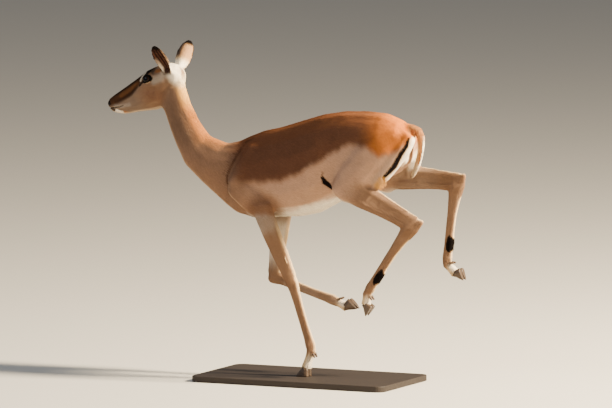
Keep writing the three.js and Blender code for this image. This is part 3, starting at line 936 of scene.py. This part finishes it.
# Marks on the side of the face, in the order they are laid: colour, line of x and z in millimetres,
# how far from it the mark ends, how far it is full, and its strength.
FACE_MARKS = [
    # painted sunlight: the poll's pale cream
    ((0.96, 0.90, 0.80), [(-492, 1018), (-474, 990)], 34, 8, 0.95),  # poll
    ((0.72, 0.66, 0.58), [(-548, 978), (-524, 988)], 22, 3, 0.55),  # behind the eye
    ((0.80, 0.73, 0.64), [(-604, 974), (-602, 986), (-595, 998)], 5.5, 1.5, 0.8),  # before the eye
    ("black", [(-582, 998), (-578, 1007), (-574, 1014)], 9.5, 5, 0.9),  # brow
    ((0.50, 0.31, 0.17), [(-546, 1008), (-530, 1012)], 8, 4, 0.85),  # temple
    ("dark", [(-530, 1018), (-512, 1000)], 5, 2, 0.7),  # root of the ear
    ("white", [(-697, 866), (-689, 862), (-682, 861)], 11, 7, 1),  # chin
    ((0.16, 0.12, 0.10), [(-722, 876), (-708, 872)], 7, 3, 0.8),  # lower lip
    ((0.62, 0.40, 0.24), [(-670, 864), (-664, 862)], 8, 4, 0.7),  # behind the chin
    ((0.78, 0.73, 0.67), [(-700, 884), (-675, 886), (-650, 892)], 11, 1, 0.22),  # upper lip
]
# The lower edge of the muzzle's brown: along the face from the nose, and square to it, in metres.
MUZZLE_EDGE = (
    [0.0, 0.010, 0.037, 0.063, 0.085, 0.100, 0.130, 0.154, 0.175],
    [-0.008, -0.010, -0.0115, -0.0100, -0.0080, -0.0050, 0.0085, 0.022, 0.028],
)


def head_colour(p, n, colour, white, black):
    """Face, eyelids, nose, mouth and ears."""
    head, (ears, up) = in_head(p), ear_weight(p)
    s, t, _ = head_frame(p)

    def near(line, far, close):
        return soft(flat_line(p, line), far / 1000.0, close / 1000.0) * soft(np.abs(n[:, 1]), 0.05, 0.25)

    brown, dark = (0.275, 0.175, 0.11), (0.115, 0.075, 0.05)
    lower = np.interp(s, *MUZZLE_EDGE)
    muzzle = soft(t - lower, -0.006, 0.007) * soft(s, 0.185, 0.15)
    edge = soft(np.abs(t - lower - 0.006), 0.012, 0.002) * soft(s, 0.165, 0.12) * soft(s, 0.02, 0.06)
    bridge = soft(n @ np.array((-0.4, 0, 0.9)), 0.35, 0.85) * soft(s, 0.010, 0.05) * soft(s, 0.235, 0.20)
    tone = painted(
        plain((0.505, 0.39, 0.305), p),
        ((0.475, 0.40, 0.34), soft(s, 0.15, 0.09) * 0.8),
        ((0.46, 0.325, 0.245), near([(-565, 930), (-535, 925)], 46, 6) * 0.65),
        (brown, muzzle),
        ((0.42, 0.265, 0.15), near([(-680, 922), (-655, 938), (-620, 962)], 14, 3) * muzzle * 0.7),
        (dark, edge * 0.5),
        (dark, bridge * 0.85),
        # painted sunlight: the poll pale cream
        ((0.92, 0.86, 0.76), soft(s, 0.225, 0.255) * soft(t, 0.0, 0.035)),
    )
    named = {"black": black, "white": white, "dark": linear(dark)}
    for shade, line, far, close, strength in FACE_MARKS:
        shade = named[shade] if shade in named else linear(shade)
        tone = mixed(tone, shade, near(line, far, close) * strength)
    tone = painted(tone, ((0.80, 0.70, 0.58), soft(-n[:, 2], 0.55, 0.9) * soft(s, 0.24, 0.18) * 0.6))
    # a black ring round each eye: the dark lids, widened with painted shade round the eye
    for side in SIDES:
        open_, _, _, _, reach = almond(p, side)
        tone = painted(tone, ((0.03, 0.025, 0.02), soft(open_, 1.50, 1.32) * reach))
    q = mirrored(p)
    tone = painted(
        tone,
        ((0.05, 0.035, 0.03), near([(-590, 972), (-598, 966), (-606, 958)], 5, 2.5) * 0.9),
        ((0.09, 0.07, 0.065), soft(s, 0.018, 0.010) * soft(t, -0.010, -0.003)),
        ((0.02, 0.015, 0.015), soft(line_distance(q, NOSTRIL), 0.006, 0.0035)),
        ((0.08, 0.05, 0.04), soft(line_distance(q, MOUTH), 0.0030, 0.0014)),
    )
    return mixed(colour, ear_colour(p, n, tone, ears, up, black), head)


# Streaks of pale hair in the ear: place across it from -1 to 1, and width.
EAR_STREAKS = ((-0.62, 0.10), (-0.12, 0.07), (0.34, 0.06), (0.74, 0.10))
# Half the width of the ear, in metres, at places up it from 0 to 1.
EAR_WIDTH = ([0, 0.3, 0.5, 0.68, 0.84, 1.0], [0.017, 0.025, 0.027, 0.0255, 0.020, 0.006])


def ear_colour(p, n, tone, ears, up, black):
    """Ears: buff behind with painted shade on one half, dark within (partly painted shade) with pale
    streaks, black at the rim and tip.
    """
    facing, aside, own, cup = np.zeros((4, len(p)))
    for side, (root, tip, open_) in EARS.items():
        near, _ = segment_distance(p, root, tip)
        size = np.linalg.norm(tip - root)
        along = (tip - root) / size
        mine = on_side(p, side)
        low = soft((p - root) @ along / size, -0.06, 0.04) * soft(near, 0.034, 0.024)
        own = np.maximum(own, low * mine)
        face = unit(np.array(open_) - along * (np.array(open_) @ along))
        facing = np.where(mine, n @ face, facing)
        cup = np.where(mine, (p - root) @ face, cup)
        aside = np.where(mine, (p - root) @ (np.cross(along, face) * side), aside)
    place = aside / np.interp(up, *EAR_WIDTH)
    pale = np.zeros(len(p))
    for at, wide in EAR_STREAKS:
        pale = np.maximum(pale, bell(place - at, wide))
    # inside the ear: a dark base, partly the ear's own dark stripes and partly painted shade in its hollow
    inside = painted(
        plain((0.16, 0.10, 0.08), p),
        ((0.50, 0.33, 0.26), pale * soft(up, 0.86, 0.62) * 0.55),
        ((0.74, 0.60, 0.46), soft(place, -0.55, -0.80) * soft(up, 0.9, 0.7)),
        ((0.62, 0.54, 0.47), soft(place, 0.45, 0.85) * soft(up, 0.5, 0.3)),
    )
    back = plain((0.70, 0.535, 0.38), p)
    # painted shade: the front half of the ear's back darkened above the root
    back = painted(back, ((0.31, 0.245, 0.205), soft(place, 0.25, 0.65) * soft(up, 0.15, 0.4)))
    open_ = np.maximum(soft(facing, 0.0, 0.25), soft(cup, 0.003, 0.008) * soft(up, 0.5, 0.35))
    ears = np.maximum(ears, own * open_ * soft(np.abs(place), 0.95, 0.6))
    both = mixed(back, inside, open_)
    both = painted(both, ((0.92, 0.81, 0.63), soft(up, 0.42, 0.08) * (1 - open_) * 0.85))
    both = mixed(both, black, soft(up, 0.76, 0.88))
    both = mixed(both, black, soft(np.abs(place), 0.80, 0.92) * soft(up, 0.42, 0.6) * 0.95)
    return mixed(tone, both, ears)


# ------------------------------------------------------------------ materials
def coat_material(name, bump, variation):
    """Matt hair in the points' own colours, a little uneven."""
    mat = Material(name, Roughness=0.85, Specular_IOR_Level=0.05)
    colour = mat.node("ShaderNodeAttribute", {"attribute_name": "coat_colour"})["Color"]
    fine = mat.noise(420.0, 2.0)
    broad = mat.noise(26.0, 3.0)
    mat.feed("Base Color", mat.tint(colour, 1.0 + (fine - 0.5) * variation + (broad - 0.5) * 0.22))
    if bump:
        mat.bump(mat.noise(900.0, 2.0), bump)
    return mat


# ------------------------------------------------------------------ eyes, hooves, base
# Depth of the eyeball from its middle (0) to its front (1), and the scene-linear colour there.
IRIS = (
    (0.55, (0.010, 0.006, 0.005, 1)), (0.62, (0.022, 0.010, 0.005, 1)),
    (0.85, (0.016, 0.007, 0.004, 1)), (0.88, (0.002, 0.002, 0.003, 1)),
)
HOOF_CELL, HOOF_WEAR = 0.0011, 12  # size of the cells and rounds of smoothing
DEWCLAW_CELL, DEWCLAW_WEAR = 0.0007, 8
REGROWN = 0.0004  # what the smoothing takes off, put back
BOARD_EDGE = 0.0012


def eye_piece(side):
    work = bmesh.new()
    bmesh.ops.create_uvsphere(work, u_segments=48, v_segments=32, radius=EYE["radius"])
    axis = Vector(eye_axis(side)).normalized()
    turn = Vector((0, 0, 1)).rotation_difference(axis).to_matrix()
    bmesh.ops.rotate(work, verts=work.verts, matrix=turn)
    bmesh.ops.translate(work, verts=work.verts, vec=Vector(eye_middle(side)))
    return finished(work, "eyeball")


def eye_material(side):
    mat = Material(f"eye {side}", Roughness=0.03, Specular_IOR_Level=0.10)
    off = mat.vector("SUBTRACT", mat.place(), tuple(eye_middle(side)))["Vector"]
    ahead = mat.vector("DOT_PRODUCT", off, tuple(unit(eye_axis(side))))["Value"]
    ramp = mat.node("ShaderNodeValToRGB", None, _0=ahead * (1.0 / EYE["radius"]))
    stops = ramp["Color"].socket.node.color_ramp.elements
    for i, (where, colour) in enumerate(IRIS):
        stop = stops[i] if i < 2 else stops.new(where)
        stop.position, stop.color = where, colour
    mat.feed("Base Color", ramp["Color"])
    return mat


def cad_shape(node):
    """A CAD node's shape with its points joined."""
    work = bmesh.new()
    work.from_mesh(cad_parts[node].data)
    bmesh.ops.remove_doubles(work, verts=work.verts, dist=JOINED)
    return work


def horny(node, cell, steps):
    """A claw's or dewclaw's shape from the CAD with its facets worn round."""
    piece = remeshed(finished(cad_shape(node), node), cell)
    modifier(piece, "SMOOTH", factor=EVEN_FACTOR, iterations=steps)
    mesh = applied(piece)
    set_points(mesh, points_of(mesh) + normals_of(mesh) * REGROWN)
    return mesh


def horn_material(name, dark, pale):
    mat = Material(name, Roughness=0.45, Specular_IOR_Level=0.4)
    grain = mat.noise(110.0, 5.0, 0.6)
    mat.feed("Base Color", mat.between(grain, linear(dark), linear(pale)))
    mat.bump(mat.noise(240.0, 3.0), 0.0006)
    return mat


def board(node):
    """The base's shape from the CAD with its edges rounded off."""
    work = cad_shape(node)
    bmesh.ops.dissolve_limit(work, angle_limit=math.radians(4), verts=work.verts, edges=work.edges)
    piece = linked(node, finished(work, node))
    rounding = {"limit_method": "ANGLE", "angle_limit": math.radians(35)}
    modifier(piece, "BEVEL", width=BOARD_EDGE, segments=3, **rounding)
    mesh = applied(piece)
    work = bmesh.new()
    work.from_mesh(mesh)
    bmesh.ops.triangulate(work, faces=work.faces)
    work.to_mesh(mesh)
    work.free()
    return mesh


def base_material():
    mat = Material("stained board", Roughness=0.62, Specular_IOR_Level=0.3)
    stretched = mat.vector("MULTIPLY", mat.place(), (1.0, 12.0, 12.0))["Vector"]
    grain = mat.noise(7.0, 6.0, 0.62, stretched)
    stain = linear(settings().base_colour)
    mat.feed("Base Color", mat.between(grain, stain * 0.6, stain * 1.5))
    mat.bump(grain, 0.0004)
    return mat


# ------------------------------------------------------------------ the lie of the coat
def turned_to(flow, other, weight):
    """The lie turned towards another direction by a weight at each point."""
    return flow * (1 - weight)[:, None] + np.asarray(other) * weight[:, None]


def lie_of_coat(p, n):
    """Unit direction in which the hair lies at each point."""
    flow = np.tile(np.array((1.0, 0.0, -0.38)), (len(p), 1))
    flow = turned_to(flow, (0.50, 0.0, -0.86), soft(p[:, 0], -0.22, -0.36))
    flow = turned_to(flow, (0.35, 0.0, -0.94), soft(p[:, 0], 0.18, 0.34))
    for joints in JOINTS.values():
        for _, a, b, _, w in leg_bones(p, joints, 0.08, 0.055, 0.045, (0.0, 0.3)):
            flow = turned_to(flow, unit(b - a), w)
    flow = turned_to(flow, (0.90, 0.0, 0.25), in_head(p))
    for side, (root, tip, _) in EARS.items():
        near, along = segment_distance(p, root, tip)
        w = soft(near, 0.036, 0.028) * soft(along, 0.05, 0.25) * on_side(p, side)
        flow = turned_to(flow, unit(tip - root), w)
    tail = soft(flat_line(p, TAIL), 0.035, 0.02) * soft(np.abs(p[:, 1]), 0.03, 0.02)
    flow = turned_to(flow, (0.05, 0.0, -1.0), tail)
    flow = flow - n * np.sum(flow * n, axis=1)[:, None]
    size = np.linalg.norm(flow, axis=1)[:, None]
    flow = np.where(size > 0.08, flow, np.cross(n, (0.0, 1.0, 0.0)))
    return flow / np.maximum(np.linalg.norm(flow, axis=1)[:, None], 1e-6)


def strayed(flow, normal, turn):
    """The lie turned in the skin's plane by an angle of its own at each point."""
    return flow * np.cos(turn)[:, None] + np.cross(normal, flow) * np.sin(turn)[:, None]


SPIKE_ROOT, LOCK_ROOT = 0.0006, 0.0008  # how deep the roots stand in the skin
TIP_GAP = 0.0002
DROOP = 0.18  # how much flatter a lock's outer half lies, in radians
# painted shade at the roots of the tufts, painted highlight at their tips
ROOT_SHADE, SPIKE_TIP_HIGHLIGHT, LOCK_TIP_HIGHLIGHT = 0.80, 1.18, 1.15
SPIKES_PER_PIECE = 49000
COAT_AREA = 1.35  # square metres of skin that the number of locks is shared out over
SHORT_SEED, LONG_SEED = 5, 11


def scattered(mesh, density, seed):
    """Random places on the skin, `density` of them per square metre: point, normal, place on the
    OFBake map, and the generator for further draws."""
    rng = np.random.default_rng(seed)
    p, n, tri = points_of(mesh), normals_of(mesh), triangles_of(mesh)
    uv = read(mesh.uv_layers["OFBake"].data, "uv", 2)[triangles_of(mesh, "loops")]
    a, b, c = p[tri[:, 0]], p[tri[:, 1]], p[tri[:, 2]]
    area = np.linalg.norm(np.cross(b - a, c - a), axis=1) / 2
    weight = area * density((a + b + c) / 3, n[tri].mean(axis=1))
    chosen = rng.choice(len(tri), size=int(weight.sum()), p=weight / weight.sum())
    r1, r2 = np.sqrt(rng.random(len(chosen))), rng.random(len(chosen))
    w = np.column_stack([1 - r1, r1 * (1 - r2), r1 * r2])[:, :, None]
    t = tri[chosen]
    where = (p[t] * w).sum(axis=1)
    normal = (n[t] * w).sum(axis=1)
    normal /= np.linalg.norm(normal, axis=1)[:, None]
    return where, normal, (uv[chosen] * w).sum(axis=1), rng


def surface(mesh):
    """The mesh as a tree for finding the nearest place on it."""
    return BVHTree.FromPolygons(points_of(mesh).tolist(), triangles_of(mesh).tolist())


def laid(tree, points, heights):
    """Brings points to their own heights over the skin, so that no hair sinks in or stands off."""
    out = points.copy()
    for i, (point, height) in enumerate(zip(points.tolist(), heights.tolist())):
        place, normal, _, _ = tree.find_nearest(point, SEARCH)
        if place is not None:
            out[i] = place + normal * height
    return out


def stacked(rows):
    """The points of all tufts, one tuft after another."""
    return np.stack(rows, axis=1).reshape(-1, 3)


def spikes(tree, where, normal, flow, length, width, lift):
    """Thin three-sided closed spikes lying along the flow; 4 points and 4 triangles each."""
    across = np.cross(normal, flow)
    base = where - normal * SPIKE_ROOT
    w, l = width[:, None] / 2, length[:, None]
    ridge = base + normal * (w * 0.6 + 0.0007) + flow * l * 0.12
    tip = laid(tree, where + flow * l, length * np.sin(lift) + TIP_GAP)
    verts = [base + across * w, base - across * w, ridge, tip]
    faces = [[0, 1, 2], [0, 2, 3], [2, 1, 3], [1, 0, 3]]
    shades = [normal + across * 0.8, normal - across * 0.8, normal, normal]
    return stacked(verts), np.array(faces), stacked(shades)


def locks(tree, where, normal, flow, length, width, lift):
    """Longer closed locks, bent back towards the skin; 7 points and 10 triangles each."""
    across = np.cross(normal, flow)
    w, l = width[:, None] / 2, length[:, None]
    base = where - normal * LOCK_ROOT
    rise = length * 0.5 * np.sin(lift)
    mid = laid(tree, where + flow * l * 0.5, rise)
    beyond = length * 0.5 * np.sin(np.maximum(lift - DROOP, 0.0))
    tip = laid(tree, where + flow * l, rise + beyond + TIP_GAP)
    up = normal * (w * 0.9)
    verts = [
        base + across * w, base - across * w, base + up + normal * LOCK_ROOT,
        mid + across * w * 0.8, mid - across * w * 0.8, mid + up * 0.7, tip,
    ]
    faces = [
        [0, 1, 2], [0, 2, 5], [0, 5, 3], [2, 1, 4], [2, 4, 5], [1, 0, 3], [1, 3, 4],
        [3, 5, 6], [5, 4, 6], [4, 3, 6],
    ]
    left, right = normal + across * 0.6, normal - across * 0.6
    return stacked(verts), np.array(faces), stacked([left, right, normal, left, right, normal, normal])


def coat_mesh(name, shape, colours, uvs, tip_highlight):
    """Tufts as one mesh, with painted shade at the root and a painted highlight at the tip, each on its own
    spot of the map.
    """
    verts, faces, shades = shape
    size = faces.max() + 1
    tris = (faces[None] + np.arange(len(colours))[:, None, None] * size).reshape(-1, 3)
    mesh = mesh_from(name, verts, tris)
    light = np.ones(size)
    light[0] = light[1] = ROOT_SHADE
    light[-1] = tip_highlight
    set_colours(mesh, np.clip((colours[:, None, :] * light[None, :, None]).reshape(-1, 3), 0, 1))
    layer = mesh.uv_layers.new(name="OFBake")
    aside = np.stack([np.linspace(0, 0.003, size), (np.arange(size) % 3) * 0.0012], axis=1)
    spots = (uvs[:, None, :] + aside[None]).reshape(-1, 2)
    layer.data.foreach_set("uv", np.clip(spots[tris.ravel()], 0, 1).astype(np.float32).ravel())
    mesh.polygons.foreach_set("use_smooth", np.ones(len(mesh.polygons), dtype=bool))
    mesh.normals_split_custom_set_from_vertices(shades / np.linalg.norm(shades, axis=1)[:, None])
    return mesh


def bare(p):
    """1 where no lock grows: eyes, nose pad, nostrils and lips' edge."""
    q = mirrored(p)
    s, t, _ = head_frame(p)
    out = soft(s, 0.022, 0.012) * soft(t, -0.012, -0.003)
    out = np.maximum(out, soft(line_distance(q, NOSTRIL), 0.008, 0.005))
    out = np.maximum(out, soft(line_distance(q, MOUTH), 0.004, 0.002))
    for side in SIDES:
        open_, _, _, _, reach = almond(p, side)
        out = np.maximum(out, soft(open_, 1.55, 1.3) * reach)
    return out


def marked(p):
    """1 near the edges of the saddle and on the black tufts, where the skin stays fine."""
    edge = soft(np.abs(p[:, 2] - curve(p[:, 0], SADDLE_EDGE)), 0.022, 0.014) * (p[:, 0] > -0.25)
    return np.maximum(np.maximum(edge * 0.8, marking(p)), tail_weight(p))


def marking(p):
    """1 on and beside the black marks, where the hair is kept short so that their edges stay even."""
    haunch = soft(flat_line(p, STRIPE), 0.022, 0.012) * (p[:, 0] > 0.26)
    for j in JOINTS.values():
        if "hock" in j:
            near, along = segment_distance(p, j["hock"], j["fetlock"])
            haunch = np.maximum(haunch, soft(np.abs(along - 0.72), 0.19, 0.13) * (near < 0.045))
    return np.maximum(haunch, soft(flat_line(p, SPOT), 0.020, 0.010) * (np.abs(p[:, 1]) > 0.05))


NAPE = [(-505, 1008), (-478, 985), (-452, 935), (-425, 890), (-385, 852), (-330, 826), (-270, 812),
        (-225, 818)]


def long_places(p, n):
    """Where longer hair grows: locks per square metre, their length and how far they stand off."""
    out = np.zeros((3, len(p)))
    out[1] = 0.01

    def grow(where, many, long, off):
        better = where * many > out[0]
        for i, value in enumerate((where * many, long, off)):
            out[i] = np.where(better, value, out[i])

    x, y, z = p[:, 0], np.abs(p[:, 1]), p[:, 2]
    upward = soft(n[:, 2] * 0.5 + n[:, 0] * 0.85, 0.55, 0.9)
    nape = soft(flat_line(p, NAPE), 0.022, 0.010) * upward * soft(y, 0.026, 0.012)
    grow(nape, 80000, 0.015, 0.14)
    grow(tail_weight(p), 110000, 0.018 + 0.010 * soft(z, 0.80, 0.73), 0.12)
    grow(soft(line_distance(p, TUFT), 0.020, 0.010), 170000, 0.021, 0.55)
    middle = soft(y, 0.05, 0.02)
    keel = middle * soft(-n[:, 2], 0.6, 0.9) * soft(z, 0.66, 0.62)
    grow(keel * soft(x, -0.26, -0.2) * soft(x, 0.2, 0.14) * (z > 0.5), 45000, 0.014, 0.16)
    groin = middle * soft(-n[:, 2] + n[:, 0], 0.5, 0.9) * soft(x, 0.24, 0.3)
    grow(groin * soft(z, 0.76, 0.72) * (z > 0.6), 60000, 0.018, 0.2)
    for j in JOINTS.values():
        same = on_side(p, side_of(j)).astype(float)
        near, along, rear = behind(p, n, *leg_chain(j)[0])
        grow(soft(rear, 0.7, 0.95) * (near < 0.07) * soft(along, 0.1, 0.3) * same, 40000, 0.010, 0.16)
        near, along, rear = behind(p, n, j["fetlock"], j["coronet"])
        close = soft(near, 0.034, 0.026)
        grow(soft(rear, 0.3, 0.8) * close * soft(along, 0.95, 0.7) * same, 110000, 0.011, 0.14)
        grow(close * soft(along, 0.75, 0.85) * same, 140000, 0.009, 0.10)
        if "hock" in j:
            grow(soft(gland(p, j), 1.0, 0.8) * same, 260000, 0.0085, 0.30)
    ears, up = ear_weight(p)
    inside = np.zeros(len(p))
    for side, (_, _, open_) in EARS.items():
        inside = np.maximum(inside, soft(n @ np.array(open_), 0.2, 0.6) * on_side(p, side))
    grow(ears * inside * soft(up, 0.9, 0.75), 90000, 0.011, 0.22)
    return out


def long_coat(mesh):
    """Fringes: nape, tail, belly, rear of the legs, glands, ears and heels."""
    def density(p, n):
        return long_places(p, n)[0] * (1 - bare(p))

    where, normal, uv, rng = scattered(mesh, density, LONG_SEED)
    _, length, lift = long_places(where, normal)
    length = length * rng.uniform(0.65, 1.2, len(where))
    width = length * 0.07 + 0.0005
    lift = lift * rng.uniform(0.5, 1.5, len(where))
    flow = strayed(lie_of_coat(where, normal), normal, rng.normal(0, 0.14, len(where)))
    colours = coat_colour(where, normal) * rng.uniform(0.85, 1.15, len(where))[:, None]
    return (where, normal, flow, length, width, lift), colours, uv


def short_coat(mesh):
    """The sleek coat all over."""
    def density(p, _):
        more = 1 + 1.1 * in_head(p) + 0.35 * leg_weight(p)
        return settings().locks / COAT_AREA * more * (1 - bare(p)) * 0.86

    where, normal, uv, rng = scattered(mesh, density, SHORT_SEED)
    head, legs = in_head(where), leg_weight(where)
    s, _, _ = head_frame(where)
    length = settings().hair_length * (1 - 0.52 * legs) * (1 - head * 0.55)
    length *= np.where(head > 0.5, 0.55 + 0.45 * soft(s, 0.02, 0.2), 1.0)
    length *= 1 - 0.4 * marking(where)
    length *= rng.uniform(0.75, 1.2, len(where))
    width = length * 0.085 + 0.0005
    lift = rng.uniform(0.03, 0.10, len(where))
    flow = strayed(lie_of_coat(where, normal), normal, rng.normal(0, 0.07, len(where)))
    uneven = 0.17 - 0.05 * np.maximum(legs, head)
    colours = coat_colour(where, normal) * (1 + uneven * rng.uniform(-1, 1, len(where)))[:, None]
    return (where, normal, flow, length, width, lift), colours, uv


# ------------------------------------------------------------------ operators
# the skin is painted darker than the coat over it: painted shade under the hair
SKIN_SHADE, SKIN_BUMP = 0.92, 0.0008
UV_ANGLE, UV_MARGIN = math.radians(66), 0.001


class IMPALA_OT_skin(bpy.types.Operator):
    """Build the skin that covers the whole animal"""

    bl_idname = "impala.skin"
    bl_label = "Skin"

    def execute(self, context):
        mesh = make_skin()
        set_colours(mesh, coat_colour(points_of(mesh), normals_of(mesh)) * SKIN_SHADE)
        skin = show("skin", mesh, coat_material("skin", SKIN_BUMP, 0.3), FLESH)
        context.view_layer.objects.active = skin
        skin.select_set(True)
        bpy.ops.object.mode_set(mode="EDIT")
        bpy.ops.mesh.select_all(action="SELECT")
        bpy.ops.uv.smart_project(angle_limit=UV_ANGLE, island_margin=UV_MARGIN)
        bpy.ops.object.mode_set(mode="OBJECT")
        skin.select_set(False)
        mesh.uv_layers[0].name = "OFBake"
        return {"FINISHED"}


class IMPALA_OT_coat(bpy.types.Operator):
    """Cover the skin with the short coat"""

    bl_idname = "impala.coat"
    bl_label = "Coat"

    def execute(self, context):
        skin = bpy.data.objects["skin"].data
        tree = surface(skin)
        hairs, colours, uv = short_coat(skin)
        order = np.argsort(hairs[0][:, 0])
        mat = coat_material("coat", 0.0, 0.35)
        for i, start in enumerate(range(0, len(order), SPIKES_PER_PIECE)):
            part = order[start:start + SPIKES_PER_PIECE]
            shape = spikes(tree, *(row[part] for row in hairs))
            made = coat_mesh(f"coat_{i}", shape, colours[part], uv[part], SPIKE_TIP_HIGHLIGHT)
            show(f"coat_{i}", made, mat)
        hairs, colours, uv = long_coat(skin)
        made = coat_mesh("fringe", locks(tree, *hairs), colours, uv, LOCK_TIP_HIGHLIGHT)
        show("fringe", made, mat)
        return {"FINISHED"}


class IMPALA_OT_eyes(bpy.types.Operator):
    """Set both eyes"""

    bl_idname = "impala.eyes"
    bl_label = "Eyes"

    def execute(self, context):
        for side, word in ((-1, "left"), (1, "right")):
            show(f"eyeball_{word}", eye_piece(side), eye_material(side), [f"eye_{word}"])
        return {"FINISHED"}


class IMPALA_OT_hooves(bpy.types.Operator):
    """Make the hooves and dewclaws"""

    bl_idname = "impala.hooves"
    bl_label = "Hooves"

    def execute(self, context):
        claw = horn_material("claw", (0.12, 0.09, 0.07), (0.36, 0.28, 0.21))
        small = horn_material("dewclaw", (0.20, 0.15, 0.12), (0.38, 0.29, 0.22))
        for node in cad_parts:
            if node.startswith("hoof"):
                shape = horny(node, HOOF_CELL, HOOF_WEAR)
                show(f"horny_{node}", shape, claw, [node])
            elif node.startswith("dewclaw"):
                shape = horny(node, DEWCLAW_CELL, DEWCLAW_WEAR)
                show(f"horny_{node}", shape, small, [node])
        return {"FINISHED"}


class IMPALA_OT_base(bpy.types.Operator):
    """Make the museum base"""

    bl_idname = "impala.base"
    bl_label = "Base"

    def execute(self, context):
        show("board", board("stand_base"), base_material(), ["stand_base"], smooth=False)
        return {"FINISHED"}


# Lamps: name, place, size, power and colour.
LAMPS = (
    ("key", (5.5, 0.6, 4.1), 0.9, 3300.0, (1.0, 0.85, 0.61)),
    ("fill", (-4.2, -4.6, 4.4), 2.2, 200.0, (0.82, 0.90, 1.0)),
    ("side", (2.6, -5.6, 2.2), 2.6, 45.0, (1.0, 0.98, 0.96)),
)
LAMPS_AIM = Vector((-0.02, 0.0, 0.6))
SKY_COLOUR, SKY_LIGHT = (0.84, 0.91, 1.0, 1), 0.23
FLOOR_RADIUS, FLOOR_COLOUR = 60.0, (0.60, 0.56, 0.50, 1)
# The camera: its turn and tilt, metres to a dot, the picture's width in dots, its middle and where the
# frame's origin falls in it (in dots from the upper left), and how far off the camera stands.
TURN, TILT, DOT = math.radians(25), math.radians(6), 0.0033
PICTURE_WIDTH, PICTURE_MIDDLE, ORIGIN_AT = 612, (306, 204), (309.5, 381)
CAMERA_DISTANCE, CAMERA_END = 30.0, 200.0


def lit(scene):
    """The sky and the lamps."""
    world = bpy.data.worlds.new("studio")
    world.use_nodes = True
    colour, strength = world.node_tree.nodes["Background"].inputs[:2]
    colour.default_value, strength.default_value = SKY_COLOUR, SKY_LIGHT
    scene.world = world
    for name, place, size, power, colour in LAMPS:
        data = bpy.data.lights.new(name, "AREA")
        data.shape = "DISK"
        data.size, data.energy, data.color = size, power, colour
        lamp = linked(name, data)
        lamp.location = place
        lamp.rotation_euler = (LAMPS_AIM - Vector(place)).to_track_quat("-Z", "Y").to_euler()
        lamp.visible_camera = False


def seen(scene):
    """The camera."""
    sin_a, cos_a, sin_e, cos_e = math.sin(TURN), math.cos(TURN), math.sin(TILT), math.cos(TILT)
    right = Vector((cos_a, sin_a, 0))
    up = Vector((-sin_e * sin_a, sin_e * cos_a, cos_e))
    back = Vector((sin_a * cos_e, -cos_a * cos_e, sin_e))
    centre = right * ((PICTURE_MIDDLE[0] - ORIGIN_AT[0]) * DOT)
    centre += up * ((ORIGIN_AT[1] - PICTURE_MIDDLE[1]) * DOT)
    data = bpy.data.cameras.new("camera")
    data.lens = data.sensor_width * CAMERA_DISTANCE / (PICTURE_WIDTH * DOT)
    data.clip_end = CAMERA_END
    camera = linked("camera", data)
    camera.location = centre + back * CAMERA_DISTANCE
    camera.rotation_euler = back.to_track_quat("Z", "Y").to_euler()
    scene.camera = camera


class IMPALA_OT_stage(bpy.types.Operator):
    """Set the floor, lights and camera"""

    bl_idname = "impala.stage"
    bl_label = "Stage"

    def execute(self, context):
        work = bmesh.new()
        bmesh.ops.create_circle(work, cap_ends=True, segments=96, radius=FLOOR_RADIUS)
        floor = linked("floor", finished(work, "floor"))
        dull = Material("floor", Roughness=0.9, Specular_IOR_Level=0.1, Base_Color=FLOOR_COLOUR)
        floor.data.materials.append(dull.data)
        lit(context.scene)
        seen(context.scene)
        return {"FINISHED"}


STEPS = (
    IMPALA_OT_skin, IMPALA_OT_eyes, IMPALA_OT_hooves, IMPALA_OT_base, IMPALA_OT_coat, IMPALA_OT_stage,
)


class IMPALA_PT_panel(bpy.types.Panel):
    """The impala's pieces in the sidebar"""

    bl_idname = "IMPALA_PT_panel"
    bl_label = "Impala"
    bl_space_type = "VIEW_3D"
    bl_region_type = "UI"
    bl_category = "Impala"

    def draw(self, context):
        for key in ImpalaSettings.__annotations__:
            self.layout.prop(context.scene.impala, key)
        for step in STEPS:
            self.layout.operator(step.bl_idname)


CLASSES = (ImpalaSettings, *STEPS, IMPALA_PT_panel)


def register():
    for cls in CLASSES:
        bpy.utils.register_class(cls)
    bpy.types.Scene.impala = PointerProperty(type=ImpalaSettings)


def unregister():
    del bpy.types.Scene.impala
    for cls in reversed(CLASSES):
        bpy.utils.unregister_class(cls)


def main():
    register()
    for step in STEPS:
        getattr(bpy.ops.impala, step.bl_idname.split(".")[1])()


if __name__ == "__main__":
    main()
